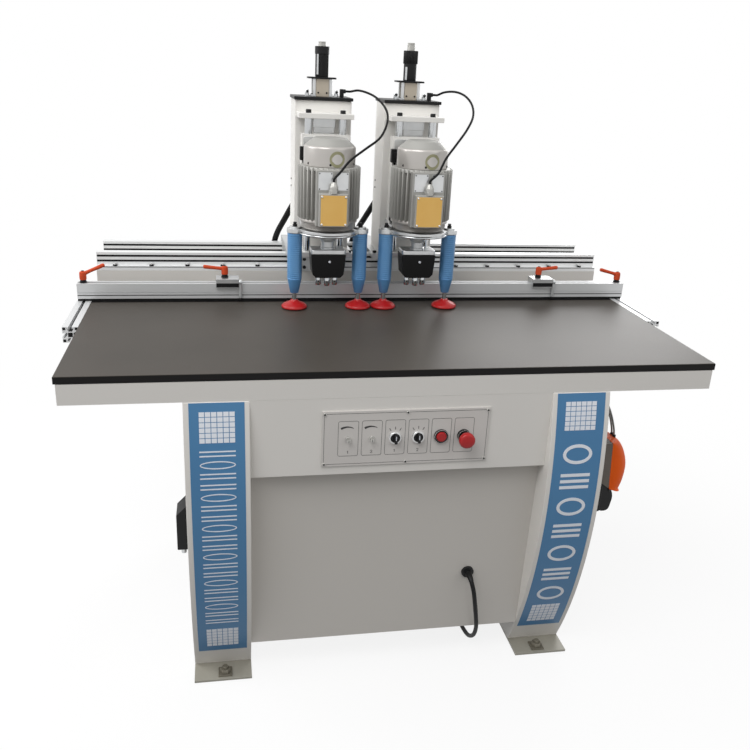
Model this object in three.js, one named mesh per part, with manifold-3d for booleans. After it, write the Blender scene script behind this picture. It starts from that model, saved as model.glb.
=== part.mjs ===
// Hinge boring machine with two drilling heads, in millimetres.
// x runs to the right, y to the back and z up. y = 0 is the front edge of the table and the floor is z = 0;
// the last lines move the machine so that its middle stands over the origin.
import * as THREE from "three";
import { mergeVertices } from "three/addons/utils/BufferGeometryUtils.js";
import Module from "manifold-3d";

// Shared values: the gap left between faces that meet, how deep joined pieces sink into each other,
// how far a cut runs past its piece, the weld distance.
const clearance = 0.3;
const bite = 0.5;
const overrun = 5;
const weld = 0.001;

// Table and the steel frame under it.
const board = { width: 1500, depth: 562, height: 834, thickness: 17 };
const frame = { height: 47, inset: 4, bar: 40, wall: 3 };

// Legs: a sheet-metal box whose front is a shallow arc, on a foot plate.
const leg = {
  inner: 349, width: 142, bulge: 28, bulgeHeight: 520, radius: 1180, back: 760,
  wall: 3, arcSteps: 14,
};
const foot = { thickness: 6, reach: 65, tail: 40 };
const anchor = { washer: 34, washerThickness: 4, headRadius: 14, head: 10, edge: 24, side: 66, sides: 6 };

// Front panel between the legs: a switch fascia above, a recessed lower panel below.
const panel = { wall: 2, fasciaBottom: 582, recessTop: 30, recessBottom: 53, bottom: 88, lip: 25 };

// Bed behind the table with the two rails that the heads slide along.
const bed = { front: 705, depth: 208, top: 886.7, wall: 5, beamInset: 40 };
const rail = { width: 56, height: 49, flange: 12, ledge: 14, grooveDepth: 5, grooveHeight: 6, inset: 1 };
const railGrooves = { lower: 22, upper: 36 };
const railBolt = { pitch: 100, radius: 6, head: 8, sides: 6, edge: 50 };

// Slotted aluminium profiles beside the table, and the fence that is clamped across them.
const slot = { width: 38, height: 40, mouth: 8, lip: 4, pocket: 18, depth: 12, front: 343, tail: 18 };
const slotHole = { side: 4.6, edge: 3.2, centreRadius: 4, sides: 8 };
const fence = { overhang: 35, front: 572, depth: 32, height: 41, strip: 7, stripInset: 4, wall: 3 };
const fenceGroove = { lower: 8, upper: 15, height: 2.4, depth: 2 };
const fenceSlot = { mouth: 9, lip: 3.5, pocket: 19, depth: 11 };

// Clamp lever: hub, rising arm and the threaded stud with its round nut in the slot below.
const lever = {
  hubRadius: 9, hub: 26, base: 9, baseRadius: 10, arm: 58, rise: 19, armWidth: 9,
  armHeight: 8,
};
const stud = { radius: 3.5, nutRadius: 6, nut: 3 };

// Flip stops on the fence.
const stop = {
  length: 62, depth: 44, plate: 15, front: 10, lip: 11, leftInset: 397, rightInset: 260,
  leverShift: -7,
};
const finger = { width: 7, thickness: 8, hubRadius: 7, pivotDrop: 4, lift: 2 };

// Control plate and what it carries, from left to right.
const plate = { centre: 5, width: 390, bottom: 604, height: 135, thickness: 3 };
const control = { pitch: 54, height: 671, sides: 16 };
const plateScrew = { radius: 4, head: 2, edge: 6, sides: 8 };
const knob = { radius: 8, length: 13, stem: 4, behind: 12 };
const selector = { bezel: 14.5, rim: 5, radius: 11, handleWidth: 7, handle: 21, grip: 11, behind: 9 };
const button = { bezel: 16.5, rim: 5, radius: 12, proud: 4, behind: 7 };
const mushroom = { bezel: 15, rim: 8, stem: 11, radius: 20.5, neck: 24, head: 16, edge: 6, behind: 10 };

// Air inlet box on the outer side of the left leg.
const inlet = { depth: 26, width: 60, front: 20, bottom: 390, height: 130, slope: 12 };

// Foot pedal hung on the outer side of the right leg, heel end down.
const pedal = { bottom: 375, height: 210, width: 120, front: 100, plate: 8, base: 72, baseTop: 14 };
const hood = { bottom: 405, reach: 151, wall: 4, inset: 5, archSteps: 12 };
const treadle = {
  pivotHeight: 22, pivotOut: 84, length: 158, thickness: 5, width: 84, swing: 7,
  boss: 6,
};
const airTube = { radius: 3, spacing: 14, out: 112, entry: 735, sides: 8, steps: 10 };

// Drilling heads. The column stands on a carriage on the rails; the motor rides on two rods in front of it.
const head = { offset: 123, axis: 500, down: 17, up: 35 };
const column = { half: 77, front: 656, depth: 130, top: 1368, wall: 6, foot: 8 };
const carriage = {
  half: 95, front: 655, back: 915, thickness: 15, keel: 22, apronHalf: 55, apron: 46,
  apronWall: 8,
};
const guide = {
  x: 46, y: 600, radius: 10, shelfFront: 578, shelf: 13, top: 1338, bottom: 957,
  bolt: 7, boltHead: 9,
};
const lift = { half: 28, depth: 28, spare: 4, rodRadius: 6, rodInside: 60, lugHalf: 16 };
const slide = { half: 64, front: 584, depth: 40, bottom: 1053, top: 1285, lug: 12 };
const body = { radius: 82, root: 68, fins: 36, finShare: 0.5, bottom: 1066, top: 1208, flangeRadius: 65 };
const pad = { half: 43, front: 412, foot: 6, crown: 3 };
const box = { half: 37, depth: 20, foot: 8, height: 84, gland: 9, glandHeight: 28, glandBack: 10 };
const cowl = { radius: 67, height: 44, shoulder: 3, topRadius: 39, cone: 33, wall: 3, sides: 24 };
const mount = { thickness: 12.7, radius: 78, lobe: 26, back: 650, bore: 20 };
const clamp = {
  offset: 87.5, radius: 20, bottom: 917, tip: 877, tipRadius: 11.5, cap: 10,
  capRadius: 19, sides: 16,
};
const shoe = { radius: 33, lift: 2, rim: 4, height: 22, top: 9, rod: 6, inside: 46 };
const neck = { radius: 27, length: 20, lower: 21, lowerLength: 20.3 };
const gearbox = {
  half: 47, bottomHalf: 42, depth: 60, height: 63, corner: 9, cover: 12.4,
  coverInset: 1,
};
const chuck = { radius: 8, length: 28, pitch: 22.5, back: 9.5, nose: 2.5, sides: 16 };

// Black plate on top of the column, with the depth stop.
const cap = { half: 80, front: 648, depth: 142, thickness: 8 };
const stopBlock = { half: 23, front: 690, depth: 46, height: 46, plateHalf: 43, plateInset: 8, plate: 4 };
const sleeve = { radius: 18, height: 78, ring: 20, ringHeight: 18, pinRadius: 9, pin: 10, sides: 16 };
const socket = { near: 48, half: 8, front: 682, height: 22, mouth: 16 };
const valve = { radius: 6, height: 18, left: -42, right: 38, sides: 10 };

// Cords.
const cable = { radius: 3, straight: 6, sides: 8, steps: 32 };
const conduit = { radius: 9, start: -18, side: 57, out: 150, drop: 395, top: 1168, sides: 8, steps: 16 };
const strap = { half: 20, thickness: 4, lug: 18 };
const lead = { radius: 5.5, sides: 8, steps: 32, wallHeight: 264, wallAt: 198 };
const gland = { flange: 15, flangeLength: 5, neck: 8, neckLength: 12, behind: 8, sides: 16 };
const coil = {
  turns: 6, middle: 66, spacing: 0.7, lift: 0.2, x: 152.3, y: 330, head: 11, tail: 52,
  steps: 24, sides: 6,
};
const plug = {
  body: 62, collar: 15, entry: 26, entryRadius: 9, skirt: 30, wall: 2.5, pins: 4,
  pinRadius: 2.4, sides: 16,
};

// Heights and places that follow from the values above.
const boardUnder = board.height - board.thickness;
const frameTop = boardUnder - clearance;
const frameBottom = frameTop - frame.height;
const legTop = frameBottom - clearance;
const half = board.width / 2;
const bedBack = bed.front + bed.depth;
const railBottom = bed.top + clearance;
const railTop = railBottom + rail.height;
const frontRail = bed.front + rail.inset;
const rearRail = bedBack - rail.inset - rail.width;
const fenceBottom = board.height + clearance + fence.strip;
const fenceTop = fenceBottom + fence.height;
const fenceMiddle = fence.front + fence.depth / 2;
const plateFront = -clearance - plate.thickness;
const plateTop = plate.bottom + plate.height;
const carriageBottom = railTop + clearance;
const carriageTop = carriageBottom + carriage.thickness;
const legOuter = leg.inner + leg.width;
const slotMiddle = half + clearance + slot.width / 2;
const fenceHalf = half + fence.overhang;
const boltSpan = Math.floor((half - railBolt.edge) / railBolt.pitch) * railBolt.pitch;
const liftBottom = slide.bottom + slide.lug + head.up + lift.spare;

const wasm = await Module();
wasm.setup();

// Geometry helpers.

function facingOut(geometry) {
  const flat = geometry.index ? geometry.toNonIndexed() : geometry;
  const p = flat.attributes.position;
  const a = new THREE.Vector3();
  const b = new THREE.Vector3();
  const c = new THREE.Vector3();
  let volume = 0;
  for (let i = 0; i < p.count; i += 3) {
    a.fromBufferAttribute(p, i);
    b.fromBufferAttribute(p, i + 1);
    c.fromBufferAttribute(p, i + 2);
    volume += a.dot(b.cross(c));
  }
  if (volume > 0) return flat;
  const turned = [];
  for (let i = 0; i < p.count; i += 3) {
    for (const k of [i, i + 2, i + 1]) turned.push(p.getX(k), p.getY(k), p.getZ(k));
  }
  return fromPositions(turned);
}

function fromPositions(values) {
  const geometry = new THREE.BufferGeometry();
  geometry.setAttribute("position", new THREE.Float32BufferAttribute(values, 3));
  return geometry;
}

function welded(geometry) {
  const plain = new THREE.BufferGeometry();
  plain.setAttribute("position", geometry.attributes.position.clone());
  if (geometry.index) plain.setIndex(geometry.index.clone());
  const merged = mergeVertices(plain, weld);
  const kept = [];
  const index = merged.index.array;
  for (let i = 0; i < index.length; i += 3) {
    const [a, b, c] = [index[i], index[i + 1], index[i + 2]];
    if (a !== b && b !== c && c !== a) kept.push(a, b, c);
  }
  merged.setIndex(kept);
  return merged;
}

function toSolid(geometry) {
  const merged = welded(facingOut(geometry));
  const vertProperties = merged.attributes.position.array;
  const triVerts = new Uint32Array(merged.index.array);
  return new wasm.Manifold(new wasm.Mesh({ numProp: 3, vertProperties, triVerts }));
}

function toGeometry(solid) {
  const mesh = solid.getMesh();
  const geometry = new THREE.BufferGeometry();
  geometry.setAttribute("position", new THREE.Float32BufferAttribute(mesh.vertProperties, 3));
  geometry.setIndex([...mesh.triVerts]);
  return geometry.toNonIndexed();
}

function join(...pieces) {
  return toGeometry(pieces.map(toSolid).reduce((a, b) => a.add(b)));
}

function cut(piece, ...tools) {
  return toGeometry(tools.map(toSolid).reduce((a, b) => a.subtract(b), toSolid(piece)));
}

function block(x0, x1, y0, y1, z0, z1) {
  const geometry = new THREE.BoxGeometry(Math.abs(x1 - x0), Math.abs(y1 - y0), Math.abs(z1 - z0));
  return geometry.translate((x0 + x1) / 2, (y0 + y1) / 2, (z0 + z1) / 2);
}

// A closed outline, always counter-clockwise, so that holes can be drawn either way round.
function outline(points) {
  const corners = points.map(([a, b]) => new THREE.Vector2(a, b));
  if (THREE.ShapeUtils.isClockWise(corners)) corners.reverse();
  return new THREE.Shape(corners);
}

function extruded(shape, length) {
  return new THREE.ExtrudeGeometry(shape, { depth: length, bevelEnabled: false });
}

const axisX = new THREE.Vector3(1, 0, 0);
const axisY = new THREE.Vector3(0, 1, 0);
const axisZ = new THREE.Vector3(0, 0, 1);

// An outline in (y, z) drawn out along x.
function alongX(shape, x0, x1) {
  const basis = new THREE.Matrix4().makeBasis(axisY, axisZ, axisX);
  return extruded(shape, x1 - x0).applyMatrix4(basis).translate(x0, 0, 0);
}

// An outline in (x, z) drawn out along y.
function alongY(shape, y0, y1) {
  const basis = new THREE.Matrix4().makeBasis(axisX, axisZ, axisY.clone().negate());
  return extruded(shape, y1 - y0).applyMatrix4(basis).translate(0, y1, 0);
}

// An outline in (x, y) drawn out along z.
function alongZ(shape, z0, z1) {
  return extruded(shape, z1 - z0).translate(0, 0, z0);
}

// A profile of [radius, height] pairs turned about the vertical through (x, y).
function turned(profile, x, y, sides) {
  const points = profile.map(([radius, height]) => new THREE.Vector2(radius, height));
  return new THREE.LatheGeometry(points, sides).rotateX(Math.PI / 2).translate(x, y, 0);
}

// The same about an axis along y: heights are measured from the plane y = from towards the front.
function turnedForward(profile, x, z, from, sides) {
  return turned(profile, 0, 0, sides).rotateX(Math.PI / 2).translate(x, from, z);
}

function cylinder(radius, z0, z1, x, y, sides) {
  return turned([[0, z0], [radius, z0], [radius, z1], [0, z1]], x, y, sides);
}

function cylinderX(radius, x0, x1, y, z, sides) {
  return cylinder(radius, x0, x1, 0, 0, sides).rotateY(Math.PI / 2).translate(0, y, z);
}

function cylinderForward(radius, t0, t1, x, z, from, sides) {
  return turnedForward([[0, t0], [radius, t0], [radius, t1], [0, t1]], x, z, from, sides);
}

function ring(radius, sides) {
  const points = [];
  for (let k = 0; k < sides; k += 1) {
    const angle = (2 * Math.PI * k) / sides;
    points.push([radius * Math.cos(angle), radius * Math.sin(angle)]);
  }
  return outline(points);
}

// A round tube along a smooth line through the points.
function tube(points, radius, sides, steps) {
  const extrudePath = new THREE.CatmullRomCurve3(points.map((point) => new THREE.Vector3(...point)));
  return new THREE.ExtrudeGeometry(ring(radius, sides), { steps, extrudePath, bevelEnabled: false });
}

// A bent sheet: the polyline is its front, the wall lies on the left of its direction.
function bentSheet(points, wall) {
  const inner = points.map((point, k) => {
    const before = k > 0 ? unit(points[k - 1], point) : unit(point, points[k + 1]);
    const after = k < points.length - 1 ? unit(point, points[k + 1]) : before;
    const middle = [-(before[1] + after[1]), before[0] + after[0]];
    const scale = (2 * wall) / (middle[0] ** 2 + middle[1] ** 2);
    return [point[0] + middle[0] * scale, point[1] + middle[1] * scale];
  });
  return outline([...points, ...inner.reverse()]);
}

function unit(from, to) {
  const length = Math.hypot(to[0] - from[0], to[1] - from[1]);
  return [(to[0] - from[0]) / length, (to[1] - from[1]) / length];
}

// Materials.

function material(color, roughness, metalness) {
  return new THREE.MeshStandardMaterial({ color, roughness, metalness });
}

const white = material(0xe4e2dd, 0.5, 0);
const blackBoard = material(0x3a3836, 0.7, 0);
const aluminium = material(0xb9bbbd, 0.35, 1);
const steel = material(0x9a9a98, 0.4, 1);
const chrome = material(0xd6d8da, 0.15, 1);
const black = material(0x17171a, 0.5, 0);
const blackMetal = material(0x1c1c1e, 0.45, 1);
const castGrey = material(0xa5a5a1, 0.55, 0.4);
const blue = material(0x2c74b8, 0.35, 0);
const red = material(0xc8202a, 0.35, 0);
const orange = material(0xe8501e, 0.4, 0);

const machine = new THREE.Group();

function add(parent, name, geometry, look) {
  const mesh = new THREE.Mesh(facingOut(geometry), look);
  mesh.name = name;
  parent.add(mesh);
  return mesh;
}

// Legs.

function legFront(z, inset) {
  const radius = leg.radius - inset;
  return leg.radius - leg.bulge - Math.sqrt(radius ** 2 - (z - leg.bulgeHeight) ** 2);
}

function legOutline(inset, bottom, top) {
  const points = [];
  for (let k = 0; k <= leg.arcSteps; k += 1) {
    const z = bottom + ((top - bottom) * k) / leg.arcSteps;
    points.push([legFront(z, inset), z]);
  }
  points.push([leg.back - inset, top], [leg.back - inset, bottom]);
  return outline(points);
}

// The washers and bolt heads at both ends of a foot plate.
function anchors(side, footFront) {
  const seat = foot.thickness;
  const headSeat = seat + anchor.washerThickness;
  const w = anchor.washer / 2;
  const x = side * (leg.inner + anchor.side);
  const pieces = [];
  for (const y of [footFront + anchor.edge, leg.back + foot.tail - anchor.edge + w / 2]) {
    pieces.push(block(x - w, x + w, y - w, y + w, seat - bite, headSeat));
    pieces.push(cylinder(anchor.headRadius, headSeat - bite, headSeat + anchor.head, x, y, anchor.sides));
  }
  return pieces;
}

function buildLeg(side) {
  const [x0, x1] = side > 0 ? [leg.inner, legOuter] : [-legOuter, -leg.inner];
  const shell = alongX(legOutline(0, foot.thickness / 2, legTop), x0, x1);
  const inside = alongX(legOutline(leg.wall, foot.thickness, legTop + overrun), x0 + leg.wall, x1 - leg.wall);
  const footFront = legFront(foot.thickness, 0) - foot.reach;
  const sole = block(x0, x1, footFront, leg.back + foot.tail, 0, foot.thickness);
  return join(cut(shell, inside), sole, ...anchors(side, footFront));
}

// The air inlet box on the outer side of the left leg.
function buildInlet() {
  const near = bite - legOuter;
  const far = -legOuter - inlet.depth;
  const top = inlet.bottom + inlet.height;
  return alongY(outline([
    [near, inlet.bottom],
    [near, top],
    [far + inlet.slope, top],
    [far, top - inlet.slope],
    [far, inlet.bottom],
  ]), inlet.front, inlet.front + inlet.width);
}

add(machine, "left_leg", join(buildLeg(-1), buildInlet()), white);
add(machine, "right_leg", buildLeg(1), white);

// Table frame, the two beams to the back and the bed, welded together.

function channelRing(x, y0, y1, z0, z1) {
  const bar = frame.bar;
  const wall = frame.wall;
  const outer = block(-x, x, y0, y1, z0, z1);
  const open = block(-x + bar, x - bar, y0 + bar, y1 - bar, z0 - overrun, z1 + overrun);
  const hollowOuter = block(-x + wall, x - wall, y0 + wall, y1 - wall, z0 - overrun, z1 - wall);
  const edge = bar - wall;
  const hollowInner = block(-x + edge, x - edge, y0 + edge, y1 - edge, z0 - 2 * overrun, z1);
  return cut(outer, open, cut(hollowOuter, hollowInner));
}

function buildFrame() {
  const x = half - frame.inset;
  const tableRing = channelRing(x, 0, board.depth - frame.inset, frameBottom, frameTop);
  const beams = [-1, 1].map((side) => {
    const near = side * (leg.inner + bed.beamInset);
    const far = side * (legOuter - bed.beamInset);
    const inner = side * frame.wall;
    const y0 = frame.bar - frame.wall;
    const outer = block(near, far, y0, bedBack, frameBottom, frameTop);
    const inside = block(near + inner, far - inner, frame.bar, bedBack + overrun, frameBottom - overrun,
      frameTop - frame.wall);
    return cut(outer, inside);
  });
  const shell = block(-half, half, bed.front, bedBack, frameTop - frame.wall, bed.top);
  const tunnel = block(-half - overrun, half + overrun, bed.front + bed.wall, bedBack - bed.wall,
    frameTop - frame.wall + bed.wall, bed.top - bed.wall);
  return join(tableRing, ...beams, cut(shell, tunnel));
}

add(machine, "machine_frame", buildFrame(), white);
add(machine, "table_top", block(-half, half, 0, board.depth, boardUnder, board.height), blackBoard);

// Guide rails with the heads of the bolts that hold them down.

function railOutline(front) {
  const side = [[0, 0], [0, rail.flange], [rail.ledge, rail.flange]];
  for (const height of [railGrooves.lower, railGrooves.upper]) {
    const inner = rail.ledge + rail.grooveDepth;
    const upper = height + rail.grooveHeight;
    side.push([rail.ledge, height], [inner, height], [inner, upper], [rail.ledge, upper]);
  }
  side.push([rail.ledge, rail.height]);
  const left = side.map(([y, z]) => [front + y, railBottom + z]);
  const right = side.map(([y, z]) => [front + rail.width - y, railBottom + z]).reverse();
  return outline([...left, ...right]);
}

function buildRail(front) {
  const seat = railBottom + rail.flange;
  const bolts = [];
  for (let x = -boltSpan; x <= boltSpan; x += railBolt.pitch) {
    bolts.push(cylinder(railBolt.radius, seat - bite, seat + railBolt.head, x, front + rail.ledge / 2,
      railBolt.sides));
  }
  return join(alongX(railOutline(front), -half, half), ...bolts);
}

add(machine, "front_rail", buildRail(frontRail), aluminium);
add(machine, "rear_rail", buildRail(rearRail), aluminium);

// Front panel with the holes for the controls and the gland of the mains lead.

function panelFront(z) {
  const share = (panel.fasciaBottom - z) / (panel.fasciaBottom - panel.bottom);
  return panel.recessTop + (panel.recessBottom - panel.recessTop) * share;
}

const panelTilt = Math.atan2(panel.recessBottom - panel.recessTop, panel.fasciaBottom - panel.bottom);
const controlHoles = [knob.stem, knob.stem, selector.radius, selector.radius, button.radius, mushroom.stem];

function controlX(k) {
  return plate.centre + (k - (controlHoles.length - 1) / 2) * control.pitch;
}

function controlCuts() {
  return controlHoles.map((radius, k) => cylinderForward(radius + clearance, -overrun, overrun, controlX(k),
    control.height, plateFront / 2, control.sides));
}

function onPanel(geometry) {
  const y = panelFront(lead.wallHeight);
  return geometry.rotateX(Math.PI / 2 + panelTilt).translate(lead.wallAt, y, lead.wallHeight);
}

function buildPanel() {
  const points = [
    [0, legTop],
    [0, panel.fasciaBottom],
    [panel.recessTop, panel.fasciaBottom],
    [panel.recessBottom, panel.bottom],
    [panel.recessBottom + panel.lip, panel.bottom],
  ];
  const reach = leg.inner - clearance;
  const sheet = alongX(bentSheet(points, panel.wall), -reach, reach);
  const opening = onPanel(cylinder(gland.neck - bite, -overrun, overrun, 0, 0, gland.sides));
  return join(cut(sheet, ...controlCuts(), opening), buildGland());
}

function buildGland() {
  const profile = [
    [lead.radius + clearance, -gland.behind],
    [gland.neck, -gland.behind],
    [gland.neck, -bite],
    [gland.flange, -bite],
    [gland.flange, gland.flangeLength],
    [gland.neck, gland.flangeLength],
    [gland.neck, gland.neckLength],
    [lead.radius + clearance, gland.neckLength],
    [lead.radius + clearance, -gland.behind],
  ];
  return onPanel(turned(profile, 0, 0, gland.sides));
}

add(machine, "front_panel", buildPanel(), white);

// Control plate with its bezels and screws.

function bezel(k, radius, rim) {
  const bore = controlHoles[k] + 2 * clearance;
  const profile = [[bore, -bite], [radius, -bite], [radius, rim], [bore, rim], [bore, -bite]];
  return turnedForward(profile, controlX(k), control.height, plateFront, control.sides);
}

function buildControlPlate() {
  const left = plate.centre - plate.width / 2;
  const right = plate.centre + plate.width / 2;
  const sheet = cut(block(left, right, plateFront, -clearance, plate.bottom, plateTop), ...controlCuts());
  const screws = [];
  for (const x of [left + plateScrew.edge, plate.centre, right - plateScrew.edge]) {
    for (const z of [plate.bottom + plateScrew.edge, plateTop - plateScrew.edge]) {
      const { radius, head: proud, sides } = plateScrew;
      screws.push(cylinderForward(radius, -bite, proud, x, z, plateFront, sides));
    }
  }
  const bezels = [
    bezel(2, selector.bezel, selector.rim),
    bezel(3, selector.bezel, selector.rim),
    bezel(4, button.bezel, button.rim),
    bezel(5, mushroom.bezel, mushroom.rim),
  ];
  return join(sheet, ...bezels, ...screws);
}

function buildKnob(k) {
  const profile = [
    [0, -knob.behind],
    [knob.stem, -knob.behind],
    [knob.stem, clearance],
    [knob.radius, clearance],
    [knob.radius, knob.length],
    [0, knob.length],
  ];
  return turnedForward(profile, controlX(k), control.height, plateFront, control.sides);
}

function buildSelector(k) {
  const x = controlX(k);
  const disc = cylinderForward(selector.radius, -selector.behind, selector.rim, x, control.height, plateFront,
    control.sides);
  const w = selector.handleWidth / 2;
  const tall = selector.handle / 2;
  const near = plateFront - selector.rim;
  const handle = block(x - w, x + w, near - selector.grip, near + clearance, control.height - tall,
    control.height + tall);
  return join(disc, handle);
}

function buildStopButton() {
  const profile = [
    [0, -button.behind],
    [button.radius, -button.behind],
    [button.radius, button.rim + button.proud],
    [0, button.rim + button.proud],
  ];
  return turnedForward(profile, controlX(4), control.height, plateFront, control.sides);
}

function buildMushroom() {
  const top = mushroom.neck + mushroom.head;
  const profile = [
    [0, -mushroom.behind],
    [mushroom.stem, -mushroom.behind],
    [mushroom.stem, mushroom.neck],
    [mushroom.radius, mushroom.neck],
    [mushroom.radius, top - mushroom.edge],
    [mushroom.radius - mushroom.edge / 2, top - mushroom.edge / 4],
    [mushroom.radius - mushroom.edge, top],
    [0, top],
  ];
  return turnedForward(profile, controlX(5), control.height, plateFront, control.sides);
}

add(machine, "control_plate", buildControlPlate(), white);
add(machine, "left_speed_knob", buildKnob(0), black);
add(machine, "right_speed_knob", buildKnob(1), black);
add(machine, "left_selector", buildSelector(2), black);
add(machine, "right_selector", buildSelector(3), black);
add(machine, "stop_button", buildStopButton(), red);
add(machine, "emergency_stop", buildMushroom(), red);

// Slotted profiles beside the table.

function quarterSlots(width, height, shape) {
  const points = [];
  const sides = [
    { reach: height / 2, place: (a, d) => [a, d] },
    { reach: width / 2, place: (a, d) => [d, -a] },
    { reach: height / 2, place: (a, d) => [-a, -d] },
    { reach: width / 2, place: (a, d) => [-d, a] },
  ];
  const corners = [[-1, 1], [1, 1], [1, -1], [-1, -1]].map(([a, b]) => [(a * width) / 2, (b * height) / 2]);
  sides.forEach(({ reach, place }, k) => {
    const mouth = shape.mouth / 2;
    const pocket = shape.pocket / 2;
    const lip = reach - shape.lip;
    const floor = reach - shape.depth;
    points.push(corners[k], place(-mouth, reach), place(-mouth, lip), place(-pocket, lip));
    points.push(place(-mouth, floor), place(mouth, floor));
    points.push(place(pocket, lip), place(mouth, lip), place(mouth, reach));
  });
  return points;
}

function hole(points) {
  return new THREE.Path(points.map(([a, b]) => new THREE.Vector2(a, b)));
}

function buildSideProfile(side) {
  const shape = outline(quarterSlots(slot.width, slot.height, slot));
  for (const [sx, sz] of [[-1, -1], [-1, 1], [1, 1], [1, -1]]) {
    const x = sx * (slot.width / 2 - slotHole.edge);
    const z = sz * (slot.height / 2 - slotHole.edge);
    shape.holes.push(hole([[x, z], [x - sx * slotHole.side, z], [x, z - sz * slotHole.side]]));
  }
  const centre = [];
  for (let k = 0; k < slotHole.sides; k += 1) {
    const angle = (2 * Math.PI * k) / slotHole.sides;
    centre.push([slotHole.centreRadius * Math.cos(angle), slotHole.centreRadius * Math.sin(angle)]);
  }
  shape.holes.push(hole(centre));
  const front = alongY(shape, slot.front, fence.front + fence.depth + slot.tail);
  return front.translate(side * slotMiddle, 0, board.height - slot.height / 2);
}

add(machine, "left_side_profile", buildSideProfile(-1), aluminium);
add(machine, "right_side_profile", buildSideProfile(1), aluminium);

// Fence with its clamp levers. It slides on the side profiles.

const fenceGroup = new THREE.Group();
machine.add(fenceGroup);

function buildFence() {
  const back = fence.front + fence.depth;
  const front = [[fence.front, fenceBottom]];
  for (const height of [fenceGroove.lower, fenceGroove.upper]) {
    const z = fenceBottom + height;
    const inner = fence.front + fenceGroove.depth;
    front.push([fence.front, z], [inner, z]);
    front.push([inner, z + fenceGroove.height], [fence.front, z + fenceGroove.height]);
  }
  const mouth = fenceSlot.mouth / 2;
  const pocket = fenceSlot.pocket / 2;
  const floor = fenceTop - fenceSlot.depth;
  const shape = outline([
    ...front,
    [fence.front, fenceTop],
    [fenceMiddle - mouth, fenceTop],
    [fenceMiddle - mouth, fenceTop - fenceSlot.lip],
    [fenceMiddle - pocket, fenceTop - fenceSlot.lip],
    [fenceMiddle - pocket, floor],
    [fenceMiddle + pocket, floor],
    [fenceMiddle + pocket, fenceTop - fenceSlot.lip],
    [fenceMiddle + mouth, fenceTop - fenceSlot.lip],
    [fenceMiddle + mouth, fenceTop],
    [back, fenceTop],
    [back, fenceBottom],
  ]);
  const w = fence.wall + fenceGroove.depth;
  const low = fenceBottom + fence.wall;
  const high = floor - fence.wall;
  shape.holes.push(hole([
    [fence.front + w, low],
    [fence.front + w, high],
    [back - w, high],
    [back - w, low],
  ]));
  const studHole = cylinder(stud.radius + clearance, board.height - overrun, fenceTop + overrun, 0, fenceMiddle,
    valve.sides);
  const studs = [-1, 1].map((side) => studHole.clone().translate(side * slotMiddle, 0, 0));
  const profile = cut(alongX(shape, -fenceHalf, fenceHalf), ...studs);
  const strip = block(-fenceHalf, fenceHalf, fence.front + fence.stripInset, back - fence.stripInset,
    board.height + clearance, fenceBottom + bite);
  return join(profile, cut(strip, ...studs));
}

// A lever whose hub stands on seat; direction is +1 or -1 along x, and reach is how far its stud goes down.
function buildLever(x, y, seat, direction, reach) {
  const foot0 = seat + clearance;
  const hubBottom = foot0 + lever.base - bite;
  const base = turned([
    [0, seat - reach - stud.nut],
    [stud.nutRadius, seat - reach - stud.nut],
    [stud.nutRadius, seat - reach],
    [stud.radius, seat - reach],
    [stud.radius, foot0],
    [lever.baseRadius, foot0],
    [lever.hubRadius - clearance, foot0 + lever.base],
    [0, foot0 + lever.base],
  ], x, y, valve.sides);
  const hub = cylinder(lever.hubRadius, hubBottom, hubBottom + lever.hub, x, y, valve.sides);
  const low = hubBottom + lever.hub - lever.armHeight;
  const arm = alongY(outline([
    [x, low],
    [x + direction * lever.arm, low + lever.rise],
    [x + direction * lever.arm, low + lever.rise + lever.armHeight],
    [x, low + lever.armHeight],
  ]), y - lever.armWidth / 2, y + lever.armWidth / 2);
  return join(base, hub, arm);
}

function buildStopBlock(x) {
  const front = fence.front - stop.front;
  const back = front + stop.depth;
  const x0 = x - stop.length / 2;
  const x1 = x + stop.length / 2;
  const seat = fenceTop + clearance;
  const top = block(x0, x1, front, back, seat, seat + stop.plate);
  const lip = block(x0, x1, front, fence.front - clearance, seat - stop.lip, seat + clearance);
  const keyHalf = fenceSlot.mouth / 2 - clearance;
  const keyBottom = fenceTop - fenceSlot.lip;
  const key = block(x0, x1, fenceMiddle - keyHalf, fenceMiddle + keyHalf, keyBottom, seat + clearance);
  const bore = cylinder(stud.radius + clearance, fenceTop - fenceSlot.depth, seat + stop.plate + overrun,
    x + stop.leverShift, fenceMiddle, valve.sides);
  return cut(join(top, lip, key), bore);
}

const fingerPivotY = fence.front - stop.front / 2 - clearance;
const fingerPivotZ = fenceTop + clearance + stop.plate - finger.hubRadius - finger.pivotDrop / 2;

function buildFinger(x) {
  const x0 = x + stop.length / 2 + clearance;
  const x1 = x0 + finger.width;
  const hub = cylinderX(finger.hubRadius, x0, x1, fingerPivotY, fingerPivotZ, valve.sides);
  const t = finger.thickness / 2;
  const bar = block(x0, x1, fingerPivotY - t, fingerPivotY + t, board.height + finger.lift, fingerPivotZ);
  return join(hub, bar);
}

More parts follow.
